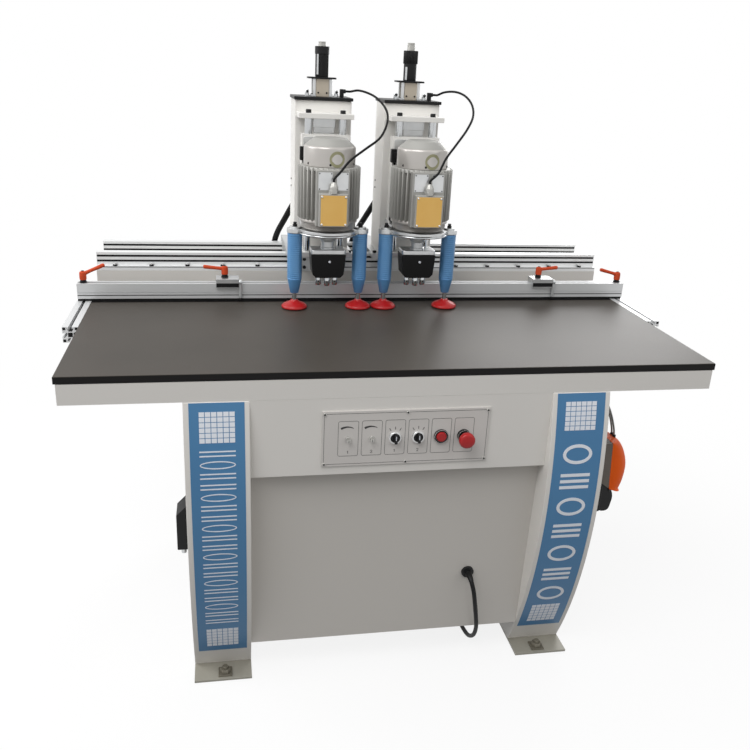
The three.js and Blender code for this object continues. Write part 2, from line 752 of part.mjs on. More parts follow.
add(fenceGroup, "fence", buildFence(), aluminium);
const fenceDrop = fenceTop - board.height + slot.lip + clearance;
add(fenceGroup, "left_fence_lever", buildLever(-slotMiddle, fenceMiddle, fenceTop, 1, fenceDrop), orange);
add(fenceGroup, "right_fence_lever", buildLever(slotMiddle, fenceMiddle, fenceTop, -1, fenceDrop), orange);
const stopSeat = fenceTop + clearance + stop.plate;
const stopDrop = stop.plate + fenceSlot.lip + 2 * clearance;
const stopPlaces = [
  ["left", stop.leftInset - fenceHalf, -1],
  ["right", fenceHalf - stop.rightInset, 1],
];
for (const [side, x, direction] of stopPlaces) {
  add(fenceGroup, `${side}_stop_block`, buildStopBlock(x), aluminium);
  add(fenceGroup, `${side}_stop_finger`, buildFinger(x), steel);
  const geometry = buildLever(x + stop.leverShift, fenceMiddle, stopSeat, direction, stopDrop);
  add(fenceGroup, `${side}_stop_lever`, geometry, orange);
}

// Foot pedal.

const pedalInner = legOuter + clearance;
const pedalFace = pedalInner + pedal.plate;
const pedalTop = pedal.bottom + pedal.height;

// The side of the hood, as shares of its reach and of its height from the mouth.
const hoodSide = [
  [0.3, 1],
  [0.62, 0.985],
  [0.83, 0.92],
  [0.95, 0.79],
  [1, 0.6],
  [1, 0.36],
  [0.975, 0],
];

function hoodShell(inset, bottom) {
  const near = pedalFace - bite;
  const reach = hood.reach - inset;
  const tall = pedalTop - hood.bottom - inset;
  const side = hoodSide.map(([a, b]) => [pedalFace + reach * a, b > 0 ? hood.bottom + tall * b : bottom]);
  const y0 = pedal.front + hood.inset + inset;
  const y1 = pedal.front + pedal.width - hood.inset - inset;
  const profile = alongY(outline([[near, bottom], [near, hood.bottom + tall], ...side]), y0, y1);
  const radius = (y1 - y0) / 2;
  const arch = [[near, y0], [near, y1]];
  for (let k = 0; k <= hood.archSteps; k += 1) {
    const angle = Math.PI * (1 / 2 - k / hood.archSteps);
    arch.push([pedalFace + reach - radius * (1 - Math.cos(angle)), y0 + radius * (1 + Math.sin(angle))]);
  }
  return toGeometry(toSolid(profile).intersect(toSolid(alongZ(outline(arch), bottom, pedalTop + overrun))));
}

function buildHood() {
  return cut(hoodShell(0, hood.bottom), hoodShell(hood.wall, hood.bottom - overrun));
}

const treadleX = pedalFace + treadle.pivotOut;
const treadleZ = pedal.bottom + treadle.pivotHeight;
const pedalMiddle = pedal.front + pedal.width / 2;

function buildPedalHousing() {
  const sole = block(pedalInner, pedalFace, pedal.front, pedal.front + pedal.width, pedal.bottom, pedalTop);
  const inner = hood.inset + hood.wall - bite;
  const baseFace = pedalFace + pedal.base;
  const base = block(pedalFace - bite, baseFace, pedal.front + inner, pedal.front + pedal.width - inner,
    pedal.bottom, pedalTop - pedal.baseTop);
  const ears = [-1, 1].map((side) => {
    const near = pedalMiddle + side * (treadle.width / 2 + clearance);
    return block(baseFace - bite, treadleX + treadle.boss, near, near + side * treadle.thickness,
      treadleZ - treadle.boss, treadleZ + treadle.boss);
  });
  return join(sole, base, ...ears, buildHood(), ...buildAirTubes());
}

function buildTreadle() {
  const w = treadle.width / 2;
  const y0 = pedalMiddle - w;
  const y1 = pedalMiddle + w;
  const hub = alongY(ring(treadle.boss, valve.sides), y0, y1);
  const t = treadle.thickness / 2;
  const tread = block(-t, t, y0, y1, 0, treadle.length).rotateY(THREE.MathUtils.degToRad(treadle.swing));
  return join(hub, tread).translate(treadleX, 0, treadleZ);
}

// Way of the air tubes from the top of the hood to the side of the leg, as shares along x and z.
const airTubeShares = [
  [0, 0], [0.03, 0.14], [0.167, 0.44], [0.37, 0.71], [0.64, 0.92], [0.82, 0.99], [0.9, 1], [1, 1],
];

function buildAirTubes() {
  const from = [pedalInner + airTube.out, pedalTop - hood.wall * 2];
  const to = [pedalInner + clearance, airTube.entry];
  return [-1, 1].map((side) => {
    const y = pedalMiddle + (side * airTube.spacing) / 2;
    const points = between(from, to, airTubeShares).map(([x, z]) => [x, y, z]);
    return tube(points, airTube.radius, airTube.sides, airTube.steps);
  });
}

add(machine, "pedal_housing", buildPedalHousing(), orange);
add(machine, "pedal_treadle", buildTreadle(), black);

// Mains lead: a free stretch from the gland, under the panel, to a coil on the floor that ends in the plug.

const coilPitch = 2 * lead.radius + coil.spacing;
const layer = [lead.radius + coil.lift, lead.radius + coil.lift + coilPitch];
const coilOuter = coil.middle + (coil.turns / 4) * coilPitch;
const coilStartX = coil.x + coilOuter;

function coilPoint(turn) {
  const inward = coil.turns / 2;
  const radius = coilOuter - coilPitch * (turn < inward ? turn : coil.turns - turn);
  const climb = THREE.MathUtils.smoothstep(turn, inward - 1 / 4, inward + 1 / 4);
  const angle = 2 * Math.PI * turn;
  const z = layer[0] + (layer[1] - layer[0]) * climb;
  return new THREE.Vector3(coil.x + radius * Math.cos(angle), coil.y + radius * Math.sin(angle), z);
}

function coilLine() {
  const points = [];
  const count = coil.turns * coil.steps;
  for (let k = 0; k <= count; k += 1) points.push(coilPoint(k / coil.steps));
  points.unshift(points[0].clone().add(new THREE.Vector3(0, -coil.head, 0)));
  points.push(points.at(-1).clone().add(new THREE.Vector3(0, coil.tail, 0)));
  return points;
}

function roundTube(points, radius, sides) {
  const rings = points.map((point, k) => {
    const before = points[Math.max(k - 1, 0)];
    const after = points[Math.min(k + 1, points.length - 1)];
    const ahead = k === 0 || k === points.length - 1 ? axisY : after.clone().sub(before).normalize();
    const across = ahead.clone().cross(axisZ).normalize();
    const up = across.clone().cross(ahead);
    return Array.from({ length: sides }, (_, j) => {
      const angle = (2 * Math.PI * (j + 1 / 2)) / sides;
      const side = across.clone().multiplyScalar(radius * Math.cos(angle));
      return point.clone().add(side).addScaledVector(up, radius * Math.sin(angle));
    });
  });
  const values = [];
  const face = (...corners) => corners.forEach((corner) => values.push(...corner.toArray()));
  for (let k = 0; k + 1 < rings.length; k += 1) {
    for (let j = 0; j < sides; j += 1) {
      const next = (j + 1) % sides;
      face(rings[k][j], rings[k][next], rings[k + 1][next]);
      face(rings[k][j], rings[k + 1][next], rings[k + 1][j]);
    }
  }
  const last = rings.at(-1);
  for (let j = 1; j + 1 < sides; j += 1) {
    face(rings[0][0], rings[0][j + 1], rings[0][j]);
    face(last[0], last[j], last[j + 1]);
  }
  return fromPositions(values);
}

function leastGap(points, diameter) {
  let least = Infinity;
  for (let a = 0; a < points.length; a += 1) {
    for (let b = a + coil.steps / 2; b < points.length; b += 1) {
      least = Math.min(least, points[a].distanceTo(points[b]) - diameter);
    }
  }
  return least;
}

function buildPlug() {
  const start = coil.y + coil.tail + clearance;
  const radius = layer[1];
  const front = plug.entry + plug.body;
  const shell = turned([
    [0, 0],
    [plug.entryRadius, 0],
    [plug.entryRadius, plug.entry],
    [radius - plug.wall, plug.entry],
    [radius - plug.wall, front],
    [radius, front],
    [radius, front + plug.collar],
    [radius - plug.wall, front + plug.collar],
    [radius - plug.wall, front + plug.skirt],
    [radius - 2 * plug.wall, front + plug.skirt],
    [radius - 2 * plug.wall, front + plug.wall],
    [0, front + plug.wall],
  ], 0, 0, plug.sides);
  const pins = [];
  for (let k = 0; k < plug.pins; k += 1) {
    const angle = (2 * Math.PI * (k + 1 / 2)) / plug.pins;
    const reach = radius / 2;
    pins.push(cylinder(plug.pinRadius, front, front + plug.skirt - plug.wall, reach * Math.cos(angle),
      reach * Math.sin(angle), valve.sides));
  }
  return join(shell, ...pins).rotateX(-Math.PI / 2).translate(coilStartX, start, layer[1]);
}

const coilPoints = coilLine();
console.log("least gap of the mains coil to itself, mm:", leastGap(coilPoints, 2 * lead.radius).toFixed(2));

const mouthReach = gland.neckLength + clearance;
const leadMouth = [
  lead.wallAt,
  panelFront(lead.wallHeight) - mouthReach * Math.cos(panelTilt),
  lead.wallHeight - mouthReach * Math.sin(panelTilt),
];
const leadEnd = [coilStartX, coil.y - coil.head - clearance, layer[0]];

// Way of the lead from the gland to the coil, as shares of the way between them along each axis.
const leadShares = [
  [0, 0, 0],
  [0.013, -0.051, 0.005],
  [0.066, -0.096, 0.044],
  [0.185, -0.117, 0.122],
  [0.396, -0.107, 0.285],
  [0.66, -0.072, 0.479],
  [0.872, -0.019, 0.634],
  [0.978, 0.068, 0.797],
  [1, 0.208, 0.925],
  [1, 0.376, 0.981],
  [1, 0.55, 0.996],
  [1, 0.76, 0.999],
  [1, 0.9, 1],
  [1, 1, 1],
];

function between(from, to, shares) {
  return shares.map((share) => share.map((part, k) => from[k] + (to[k] - from[k]) * part));
}

const leadRoute = between(leadMouth, leadEnd, leadShares);
add(machine, "mains_lead", tube(leadRoute, lead.radius, lead.sides, lead.steps), black);
add(machine, "mains_coil", roundTube(coilPoints, lead.radius, coil.sides), black);
add(machine, "mains_plug", buildPlug(), black);

// One drilling head, built about x = 0 and moved sideways as a group.

const shelfHigh = [guide.top - guide.shelf, guide.top];
const shelfLow = [guide.bottom, guide.bottom + guide.shelf];
const mountTop = slide.bottom - clearance;
const mountBottom = mountTop - mount.thickness;
const capBottom = column.top + clearance;
const capTop = capBottom + cap.thickness;
const towerTop = capTop + stopBlock.height;

// Way of the conduit behind the column, as shares of how far it goes sideways, back and down.
const conduitShares = [
  [0, 0, 0],
  [0.07, 0.147, 0.046],
  [0.526, 0.347, 0.197],
  [1.123, 0.587, 0.38],
  [1.649, 0.827, 0.562],
  [1.754, 0.953, 0.722],
  [1.386, 1, 0.861],
  [1.035, 1, 0.957],
  [1, 1, 1],
];

function buildColumn() {
  const back = column.front + column.depth;
  const bottom = carriageTop - bite;
  const post = block(-column.half, column.half, column.front, back, bottom, column.top);
  const inside = block(-column.half + column.wall, column.half - column.wall, column.front + column.wall,
    back - column.wall, bottom + column.foot, column.top + overrun);
  const wide = carriage.half;
  const deck = block(-wide, wide, carriage.front, carriage.back, carriageBottom, carriageTop);
  const keel = block(-wide, wide, frontRail + rail.width - rail.ledge + clearance,
    rearRail + rail.ledge - clearance, carriageBottom - carriage.keel, carriageBottom + clearance);
  const apron = block(-carriage.apronHalf, carriage.apronHalf, frontRail - clearance - carriage.apronWall,
    frontRail - clearance, carriageBottom - carriage.apron, carriageBottom + clearance);
  const points = conduitShares.map(([a, b, c]) => [
    conduit.start - conduit.side * a,
    back - bite + (conduit.out + bite) * b,
    conduit.top - conduit.drop * c,
  ]);
  const hose = tube(points, conduit.radius, conduit.sides, conduit.steps);
  const low = conduit.top - conduit.drop;
  const x0 = conduit.start - conduit.side - strap.half;
  const x1 = x0 + 2 * strap.half;
  const lugBottom = low - strap.lug;
  const lugBack = back + conduit.out + conduit.radius;
  const hanger = block(x0, x1, carriage.back - bite, carriage.back + strap.thickness, lugBottom, carriageTop);
  const lug = block(x0, x1, carriage.back, lugBack, lugBottom, low + bite);
  return join(cut(post, inside), deck, keel, apron, hose, hanger, lug);
}

function buildGuides() {
  const pieces = [shelfHigh, shelfLow].map(([z0, z1]) => block(-column.half, column.half, guide.shelfFront,
    column.front - clearance, z0, z1));
  for (const side of [-1, 1]) {
    const x = side * guide.x;
    pieces.push(cylinder(guide.radius, shelfLow[1] - bite, shelfHigh[0] + bite, x, guide.y, clamp.sides));
    pieces.push(cylinder(guide.bolt, guide.top - bite, guide.top + guide.boltHead, x, guide.y, valve.sides));
  }
  const y = column.front - clearance - lift.depth / 2;
  const barrel = block(-lift.half, lift.half, y - lift.depth / 2, y + lift.depth / 2, liftBottom,
    shelfHigh[0] + bite);
  const boreTop = liftBottom + lift.rodInside + head.up + lift.spare;
  const bore = cylinder(lift.rodRadius + clearance, liftBottom - overrun, boreTop, 0, y, valve.sides);
  pieces.push(cut(barrel, bore));
  return join(...pieces);
}

// The bores that run on the two guide rods.
function rodBores(z0, z1) {
  const bore = cylinder(guide.radius + clearance, z0 - overrun, z1 + overrun, 0, guide.y, clamp.sides);
  return [-1, 1].map((side) => bore.clone().translate(side * guide.x, 0, 0));
}

function buildSlide() {
  const back = slide.front + slide.depth;
  const carrier = cut(block(-slide.half, slide.half, slide.front, back, slide.bottom, slide.top),
    ...rodBores(slide.bottom, slide.top));
  const y = column.front - clearance - lift.depth / 2;
  const lugBack = y + lift.rodRadius + clearance;
  const lug = block(-lift.lugHalf, lift.lugHalf, back - bite, lugBack, slide.bottom, slide.bottom + slide.lug);
  const rodTop = liftBottom + lift.rodInside;
  const rod = cylinder(lift.rodRadius, slide.bottom + slide.lug / 2, rodTop, 0, y, valve.sides);
  return join(carrier, lug, rod);
}

function finOutline() {
  const points = [];
  const count = body.fins;
  for (let k = 0; k < count; k += 1) {
    const angle = (2 * Math.PI * k) / count;
    const fin = (Math.PI * body.finShare) / count;
    const gap = (2 * Math.PI) / count - fin;
    const corners = [[body.radius, -fin], [body.radius, fin], [body.root, fin], [body.root, gap]];
    for (const [radius, turn] of corners) {
      points.push([radius * Math.cos(angle + turn), radius * Math.sin(angle + turn)]);
    }
  }
  return outline(points);
}

function buildMotor() {
  const barrel = alongZ(finOutline(), body.bottom, body.top).translate(0, head.axis, 0);
  const flange = cylinder(body.flangeRadius, slide.bottom, body.bottom + overrun, 0, head.axis, cowl.sides);
  const flat = block(-pad.half, pad.half, pad.front, head.axis, body.bottom + pad.foot, body.top - pad.crown);
  const core = cylinder(body.root - overrun, slide.bottom, body.top - pad.crown, 0, head.axis, cowl.sides);
  const boxBack = pad.front;
  const boxBottom = body.bottom + box.foot;
  const boxTop = boxBottom + box.height;
  const terminal = block(-box.half, box.half, boxBack - box.depth, pad.front + bite, boxBottom, boxTop);
  const glandY = boxBack - box.glandBack;
  const nut = cylinder(box.gland, boxTop - bite, boxTop + box.glandHeight, 0, glandY, valve.sides);
  return join(barrel, flange, flat, core, terminal, nut);
}

function buildCowl() {
  const z0 = body.top + clearance;
  const z1 = z0 + cowl.height;
  const z2 = z1 + cowl.cone;
  const inner = cowl.radius - cowl.wall;
  return turned([
    [inner, z0],
    [cowl.radius, z0],
    [cowl.radius, z1 - cowl.shoulder],
    [cowl.radius - cowl.shoulder, z1],
    [cowl.topRadius, z2],
    [0, z2],
    [0, z2 - cowl.wall],
    [cowl.topRadius - cowl.wall, z2 - cowl.wall],
    [inner, z1 - cowl.wall],
    [inner, z0],
  ], 0, head.axis, cowl.sides);
}

function buildClampUnit() {
  const disc = cylinder(mount.radius, mountBottom, mountTop, 0, head.axis, cowl.sides);
  const tail = block(-slide.half, slide.half, head.axis, mount.back, mountBottom, mountTop);
  const lobe = cylinder(mount.lobe, mountBottom, mountTop, 0, head.axis, clamp.sides);
  const lobes = [-1, 1].map((side) => lobe.clone().translate(side * clamp.offset, 0, 0));
  const bore = cylinder(mount.bore, mountBottom - overrun, mountTop + overrun, 0, head.axis, cowl.sides);
  const pieces = [cut(join(disc, tail, ...lobes), bore, ...rodBores(mountBottom, mountTop))];
  const top = mountBottom + bite;
  const boreRadius = shoe.rod + clearance;
  const boreTop = clamp.tip + shoe.inside + head.down + shoe.lift;
  for (const side of [-1, 1]) {
    const x = side * clamp.offset;
    pieces.push(turned([
      [boreRadius, clamp.tip],
      [clamp.tipRadius, clamp.tip],
      [clamp.radius, clamp.bottom],
      [clamp.radius, top],
      [0, top],
      [0, boreTop],
      [boreRadius, boreTop],
      [boreRadius, clamp.tip],
    ], x, head.axis, clamp.sides));
    pieces.push(cylinder(clamp.capRadius, mountTop - bite, mountTop + clamp.cap, x, head.axis, clamp.sides));
  }
  return join(...pieces);
}

function buildShoe(side) {
  const z0 = board.height + shoe.lift;
  const top = z0 + shoe.height;
  const x = side * clamp.offset;
  return turned([
    [0, z0],
    [shoe.radius, z0],
    [shoe.radius, z0 + shoe.rim],
    [(shoe.radius + shoe.top) / 2, z0 + shoe.height / 2],
    [shoe.top, top - shoe.rim],
    [shoe.top, top],
    [shoe.rod, top],
    [shoe.rod, clamp.tip + shoe.inside],
    [0, clamp.tip + shoe.inside],
  ], x, head.axis, clamp.sides);
}

const neckTop = mountBottom - clearance;
const coverTop = neckTop - neck.length - neck.lowerLength;
const gearboxTop = coverTop - gearbox.cover;

function buildGearbox() {
  const collar = turned([
    [0, coverTop - bite],
    [neck.lower, coverTop - bite],
    [neck.lower, neckTop - neck.length],
    [neck.radius, neckTop - neck.length],
    [neck.radius, neckTop],
    [0, neckTop],
  ], 0, head.axis, cowl.sides);
  const y0 = head.axis - gearbox.depth / 2;
  const y1 = head.axis + gearbox.depth / 2;
  const inset = gearbox.coverInset;
  const wide = gearbox.half - inset;
  const cover = block(-wide, wide, y0 + inset, y1 - inset, gearboxTop - bite, coverTop);
  const low = gearboxTop - gearbox.height;
  const housing = alongY(outline([
    [-gearbox.half, gearboxTop],
    [-gearbox.bottomHalf, low + gearbox.corner],
    [-gearbox.bottomHalf + gearbox.corner, low],
    [gearbox.bottomHalf - gearbox.corner, low],
    [gearbox.bottomHalf, low + gearbox.corner],
    [gearbox.half, gearboxTop],
  ]), y0, y1);
  return join(collar, cover, housing);
}

function buildChuck(x, y) {
  const top = gearboxTop - gearbox.height - clearance;
  const bottom = top - chuck.length;
  return turned([
    [0, bottom],
    [chuck.radius - chuck.nose, bottom],
    [chuck.radius, bottom + chuck.nose],
    [chuck.radius, top],
    [0, top],
  ], x, y, chuck.sides);
}

function buildCap() {
  const top = block(-cap.half, cap.half, cap.front, cap.front + cap.depth, capBottom, capTop);
  const seat = capTop - bite;
  const y0 = stopBlock.front;
  const y1 = stopBlock.front + stopBlock.depth;
  const tower = block(-stopBlock.half, stopBlock.half, y0, y1, seat, towerTop);
  const disc = block(-stopBlock.plateHalf, stopBlock.plateHalf, y0 - stopBlock.plateInset,
    y1 + stopBlock.plateInset, towerTop - bite, towerTop + stopBlock.plate);
  const size = 2 * socket.half;
  const outlet = block(socket.near, socket.near + size, socket.front, socket.front + size, seat,
    capTop + socket.height);
  const valves = [valve.left, valve.right].map((x) => cylinder(valve.radius, seat, capTop + valve.height, x,
    socket.front + socket.half, valve.sides));
  return join(top, tower, disc, outlet, ...valves);
}

const sleeveBottom = towerTop + stopBlock.plate + clearance;

function buildSleeve() {
  const y = stopBlock.front + stopBlock.depth / 2;
  const top = sleeveBottom + sleeve.height;
  const knurl = turned([
    [0, sleeveBottom],
    [sleeve.radius, sleeveBottom],
    [sleeve.radius, top - sleeve.ringHeight],
    [sleeve.ring, top - sleeve.ringHeight],
    [sleeve.ring, top],
    [0, top],
  ], 0, y, sleeve.sides);
  const pin = cylinder(sleeve.pinRadius, top - bite, top + sleeve.pin, 0, y, sleeve.sides);
  return join(knurl, pin);
}

const glandTop = body.bottom + box.foot + box.height + box.glandHeight;
const cableLow = [0, pad.front - box.glandBack, glandTop + clearance];
const cableHigh = [
  socket.near + 2 * socket.half + clearance,
  socket.front + socket.half,
  capTop + socket.mouth,
];

// Ways of the motor cables from the terminal box to the socket, as shares of the way along each axis.
const cableShares = {
  left: [
    [0.227, 0.007, 0.107],
    [0.626, 0.042, 0.246],
    [1.248, 0.108, 0.377],
    [1.907, 0.208, 0.506],
    [2.278, 0.34, 0.662],
    [2.391, 0.497, 0.794],
    [2.241, 0.687, 0.913],
    [1.939, 0.854, 0.987],
    [1.498, 0.958, 1.02],
  ],
  right: [
    [0.306, 0.007, 0.122],
    [0.638, 0.049, 0.299],
    [1.146, 0.132, 0.471],
    [1.659, 0.243, 0.632],
    [2.066, 0.392, 0.78],
    [2.214, 0.566, 0.915],
    [2.093, 0.729, 1.016],
    [1.816, 0.868, 1.056],
    [1.446, 0.965, 1.04],
  ],
};

function buildHead(side, x) {
  const group = new THREE.Group();
  group.position.x = x;
  machine.add(group);
  add(group, `${side}_column`, buildColumn(), white);
  add(group, `${side}_column_cap`, buildCap(), blackMetal);
  add(group, `${side}_slide_guides`, buildGuides(), steel);
  add(group, `${side}_depth_sleeve`, buildSleeve(), black);
  add(group, `${side}_motor_slide`, buildSlide(), white);
  add(group, `${side}_motor`, buildMotor(), castGrey);
  add(group, `${side}_fan_cowl`, buildCowl(), castGrey);
  add(group, `${side}_clamp_unit`, buildClampUnit(), blue);
  add(group, `${side}_inner_clamp_foot`, buildShoe(side === "left" ? 1 : -1), red);
  add(group, `${side}_outer_clamp_foot`, buildShoe(side === "left" ? -1 : 1), red);
  add(group, `${side}_gearbox`, buildGearbox(), black);
  add(group, `${side}_centre_chuck`, buildChuck(0, head.axis), chrome);
  add(group, `${side}_left_chuck`, buildChuck(-chuck.pitch, head.axis + chuck.back), chrome);
  add(group, `${side}_right_chuck`, buildChuck(chuck.pitch, head.axis + chuck.back), chrome);
  const route = [
    cableLow,
    [cableLow[0], cableLow[1], cableLow[2] + cable.straight],
    ...between(cableLow, cableHigh, cableShares[side]),
    [cableHigh[0] + 2 * cable.straight, cableHigh[1], cableHigh[2]],
    [cableHigh[0] + cable.straight, cableHigh[1], cableHigh[2]],
    cableHigh,
  ];
  add(group, `${side}_motor_cable`, tube(route, cable.radius, cable.sides, cable.steps), black);
}

buildHead("left", -head.offset);
buildHead("right", head.offset);

// The middle, from the front of the emergency stop to the back of the conduit lugs, goes over the origin.
const frontmost = plateFront - mushroom.neck - mushroom.head;
const rearmost = column.front + column.depth + conduit.out + conduit.radius;
machine.position.y = -(frontmost + rearmost) / 2;

export default machine;
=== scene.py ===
import math

import bmesh
import bpy
import numpy as np
from mathutils import Matrix, Vector


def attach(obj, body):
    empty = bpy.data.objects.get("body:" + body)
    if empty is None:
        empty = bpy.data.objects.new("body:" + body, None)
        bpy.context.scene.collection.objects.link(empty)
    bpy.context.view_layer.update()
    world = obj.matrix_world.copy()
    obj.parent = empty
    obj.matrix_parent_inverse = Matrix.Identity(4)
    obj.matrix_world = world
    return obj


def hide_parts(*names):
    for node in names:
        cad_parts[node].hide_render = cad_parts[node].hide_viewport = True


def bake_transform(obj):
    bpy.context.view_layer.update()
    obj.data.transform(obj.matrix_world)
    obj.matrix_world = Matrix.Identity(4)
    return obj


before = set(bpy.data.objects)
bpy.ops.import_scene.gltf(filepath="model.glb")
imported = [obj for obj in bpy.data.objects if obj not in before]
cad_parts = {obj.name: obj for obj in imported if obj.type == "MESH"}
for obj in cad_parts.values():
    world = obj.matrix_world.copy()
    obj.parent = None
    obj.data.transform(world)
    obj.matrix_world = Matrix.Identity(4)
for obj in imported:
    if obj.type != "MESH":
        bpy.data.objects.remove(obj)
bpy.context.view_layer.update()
print("packed model loaded")

mm = 0.001
rowShift = np.array([0.0, -450.85, 0.0])  # from the table's front edge to the middle of the footprint


# Camera, at the place and angle of the photograph.
camera = {"lens": 39.34, "sensor": 36, "place": (-399.56, -1661.11, 1459.91), "pan": -11.068, "tilt": -20.610,
          "roll": -2.712, "farthest": 50}


def placeCamera():
    turn = Matrix.Rotation(math.radians(camera["pan"]), 3, "Z")
    turn @= Matrix.Rotation(math.radians(camera["tilt"]), 3, "X")
    turn @= Matrix.Rotation(math.radians(camera["roll"]), 3, "Y")
    axes = Matrix((turn.col[0], turn.col[2], -turn.col[1])).transposed()
    data = bpy.data.cameras.new("camera")
    data.lens = camera["lens"]
    data.sensor_width = camera["sensor"]
    data.sensor_fit = "HORIZONTAL"
    data.clip_end = camera["farthest"]
    eye = bpy.data.objects.new("camera", data)
    place = (np.array(camera["place"]) + rowShift) * mm
    eye.matrix_world = Matrix.Translation(Vector(place)) @ axes.to_4x4()
    bpy.context.scene.collection.objects.link(eye)
    bpy.context.scene.camera = eye


placeCamera()


# Shells: each is (points, faces) in millimetres, one closed body.


# A grid of points joined by quads. Each row closes on itself; the rows either close too or end in flat lids.
def gridShell(grid, closedRows=False):
    rows, columns = grid.shape[:2]
    index = np.arange(rows * columns).reshape(rows, columns)
    lids = [] if closedRows else [index[0][::-1].tolist(), index[-1].tolist()]
    if closedRows:
        index = np.vstack([index, index[:1]])
    across = np.roll(index, -1, axis=1)
    faces = np.stack([index[:-1], across[:-1], across[1:], index[1:]], axis=-1).reshape(-1, 4).tolist()
    return grid.reshape(-1, 3), faces + lids


def ringOf(steps):
    angle = np.linspace(0, 2 * math.pi, steps, endpoint=False)
    return np.cos(angle), np.sin(angle)


# Radius and height pairs carried round an axis: point = centre + radius * ring + height along the axis. On the y axis
# heights run to the front. A hollow one joins its last pair to its first.
def latheShell(profile, centre, axis="z", steps=48, hollow=False):
    radius, height = np.array(profile, float).T[:, :, None]
    cosine, sine = ringOf(steps)
    a, b, c = radius * cosine, radius * sine, height + 0 * cosine
    order = {"z": (a, b, c), "y": (a, -c, b), "x": (c, a, b)}[axis]
    return gridShell(np.stack(order, axis=-1) + np.array(centre, float), hollow)


# A flat outline moved along one axis: point = outline point, with low or high as its third coordinate.
def prismShell(outline, low, high, axis):
    outline = np.array(outline, float)
    a, b = outline[:, 0], outline[:, 1]
    layers = []
    for value in (low, high):
        c = np.full_like(a, value)
        layers.append(np.stack({"x": (c, a, b), "y": (a, c, b), "z": (a, b, c)}[axis], axis=-1))
    return gridShell(np.stack(layers))


def rectangle(x0, x1, y0, y1):
    return [(x0, y0), (x1, y0), (x1, y1), (x0, y1)]


def boxShell(x0, x1, y0, y1, z0, z1):
    return prismShell(rectangle(x0, x1, y0, y1), z0, z1, "z")


# A box that reaches as far to the left of x as to its right.
def slabShell(x, half, y0, y1, z0, z1):
    return boxShell(x - half, x + half, y0, y1, z0, z1)


# A polygon with rounded corners: each is a quadratic curve between the two points at the given distance from the
# corner, or halfway along a shorter side.
def roundedOutline(corners, radius, steps=6):
    corners = np.array(corners, float)
    before = np.roll(corners, 1, axis=0) - corners
    after = np.roll(corners, -1, axis=0) - corners
    beforeLength, afterLength = np.linalg.norm(before, axis=1), np.linalg.norm(after, axis=1)
    cut = np.minimum(np.minimum(beforeLength, afterLength) / 2, radius)
    start = corners + before / beforeLength[:, None] * cut[:, None]
    end = corners + after / afterLength[:, None] * cut[:, None]
    t = np.linspace(0, 1, steps)[None, :, None]
    curve = (1 - t) ** 2 * start[:, None] + 2 * t * (1 - t) * corners[:, None] + t ** 2 * end[:, None]
    return curve.reshape(-1, 2)


# A smooth line through the points: each stretch is the cubic with the places and slopes of its two ends. A slope is
# worked out from the neighbours, weighted by the square root of their distances.
def smoothLine(points, steps):
    p = np.array(points, float)
    p = np.vstack([2 * p[0] - p[1], p, 2 * p[-1] - p[-2]])
    gap = np.linalg.norm(np.diff(p, axis=0), axis=1)[:, None] ** 0.5
    g0, g1, g2 = gap[:-2], gap[1:-1], gap[2:]
    p0, p1, p2, p3 = p[:-3], p[1:-2], p[2:-1], p[3:]
    m1 = ((p1 - p0) / g0 - (p2 - p0) / (g0 + g1) + (p2 - p1) / g1) * g1
    m2 = ((p2 - p1) / g1 - (p3 - p1) / (g1 + g2) + (p3 - p2) / g2) * g1
    t = np.linspace(0, 1, steps, endpoint=False)[None, :, None]
    line = (2 * t ** 3 - 3 * t ** 2 + 1) * p1[:, None] + (t ** 3 - 2 * t ** 2 + t) * m1[:, None]
    line += (3 * t ** 2 - 2 * t ** 3) * p2[:, None] + (t ** 3 - t ** 2) * m2[:, None]
    return np.vstack([line.reshape(-1, 3), p[-2]])


# A ring carried along a line: point = line + radius * (cos * side + sin * other side), both sides square to the line.
def tubeShell(line, radius, steps=12, guide=(0, 0, 1)):
    line = np.array(line, float)
    ahead = np.gradient(line, axis=0)
    ahead /= np.linalg.norm(ahead, axis=1)[:, None]
    side = np.cross(ahead, np.array(guide, float))
    side /= np.linalg.norm(side, axis=1)[:, None]
    other = np.cross(side, ahead)
    cosine, sine = ringOf(steps)
    radius = np.broadcast_to(np.array(radius, float), len(line))[:, None, None]
    grid = line[:, None] + radius * (cosine[None, :, None] * side[:, None] + sine[None, :, None] * other[:, None])
    return gridShell(grid)


edges = {"sharp": 38, "bevelFrom": 35, "segments": 2}  # angles in degrees


# A piece of the machine out of one or more shells. Bevels are in millimetres.
def makePiece(name, shells, look, body, replaces=(), bevel=0.0, sharp=edges["sharp"],
              segments=edges["segments"]):
    points, faces, count = [], [], 0
    for shellPoints, shellFaces in shells:
        points.append(shellPoints)
        faces += [[corner + count for corner in face] for face in shellFaces]
        count += len(shellPoints)
    mesh = bpy.data.meshes.new(name)
    mesh.from_pydata(((np.vstack(points) + rowShift) * mm).tolist(), [], faces)
    turner = bmesh.new()
    turner.from_mesh(mesh)
    bmesh.ops.recalc_face_normals(turner, faces=turner.faces)
    turner.to_mesh(mesh)
    turner.free()
    mesh.shade_smooth()
    mesh.set_sharp_from_angle(angle=math.radians(sharp))
    mesh.materials.append(look)
    piece = bpy.data.objects.new(name, mesh)
    bpy.context.scene.collection.objects.link(piece)
    if bevel:
        rounding = piece.modifiers.new("edges", "BEVEL")
        rounding.width = bevel * mm
        rounding.segments = segments
        rounding.limit_method = "ANGLE"
        rounding.angle_limit = math.radians(edges["bevelFrom"])
        rounding.harden_normals = True
    if body:
        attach(piece, body)
    if replaces:
        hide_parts(*replaces)
    return piece


def dress(look, *nodes):
    for node in nodes:
        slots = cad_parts[node].data.materials
        slots.clear()
        slots.append(look)


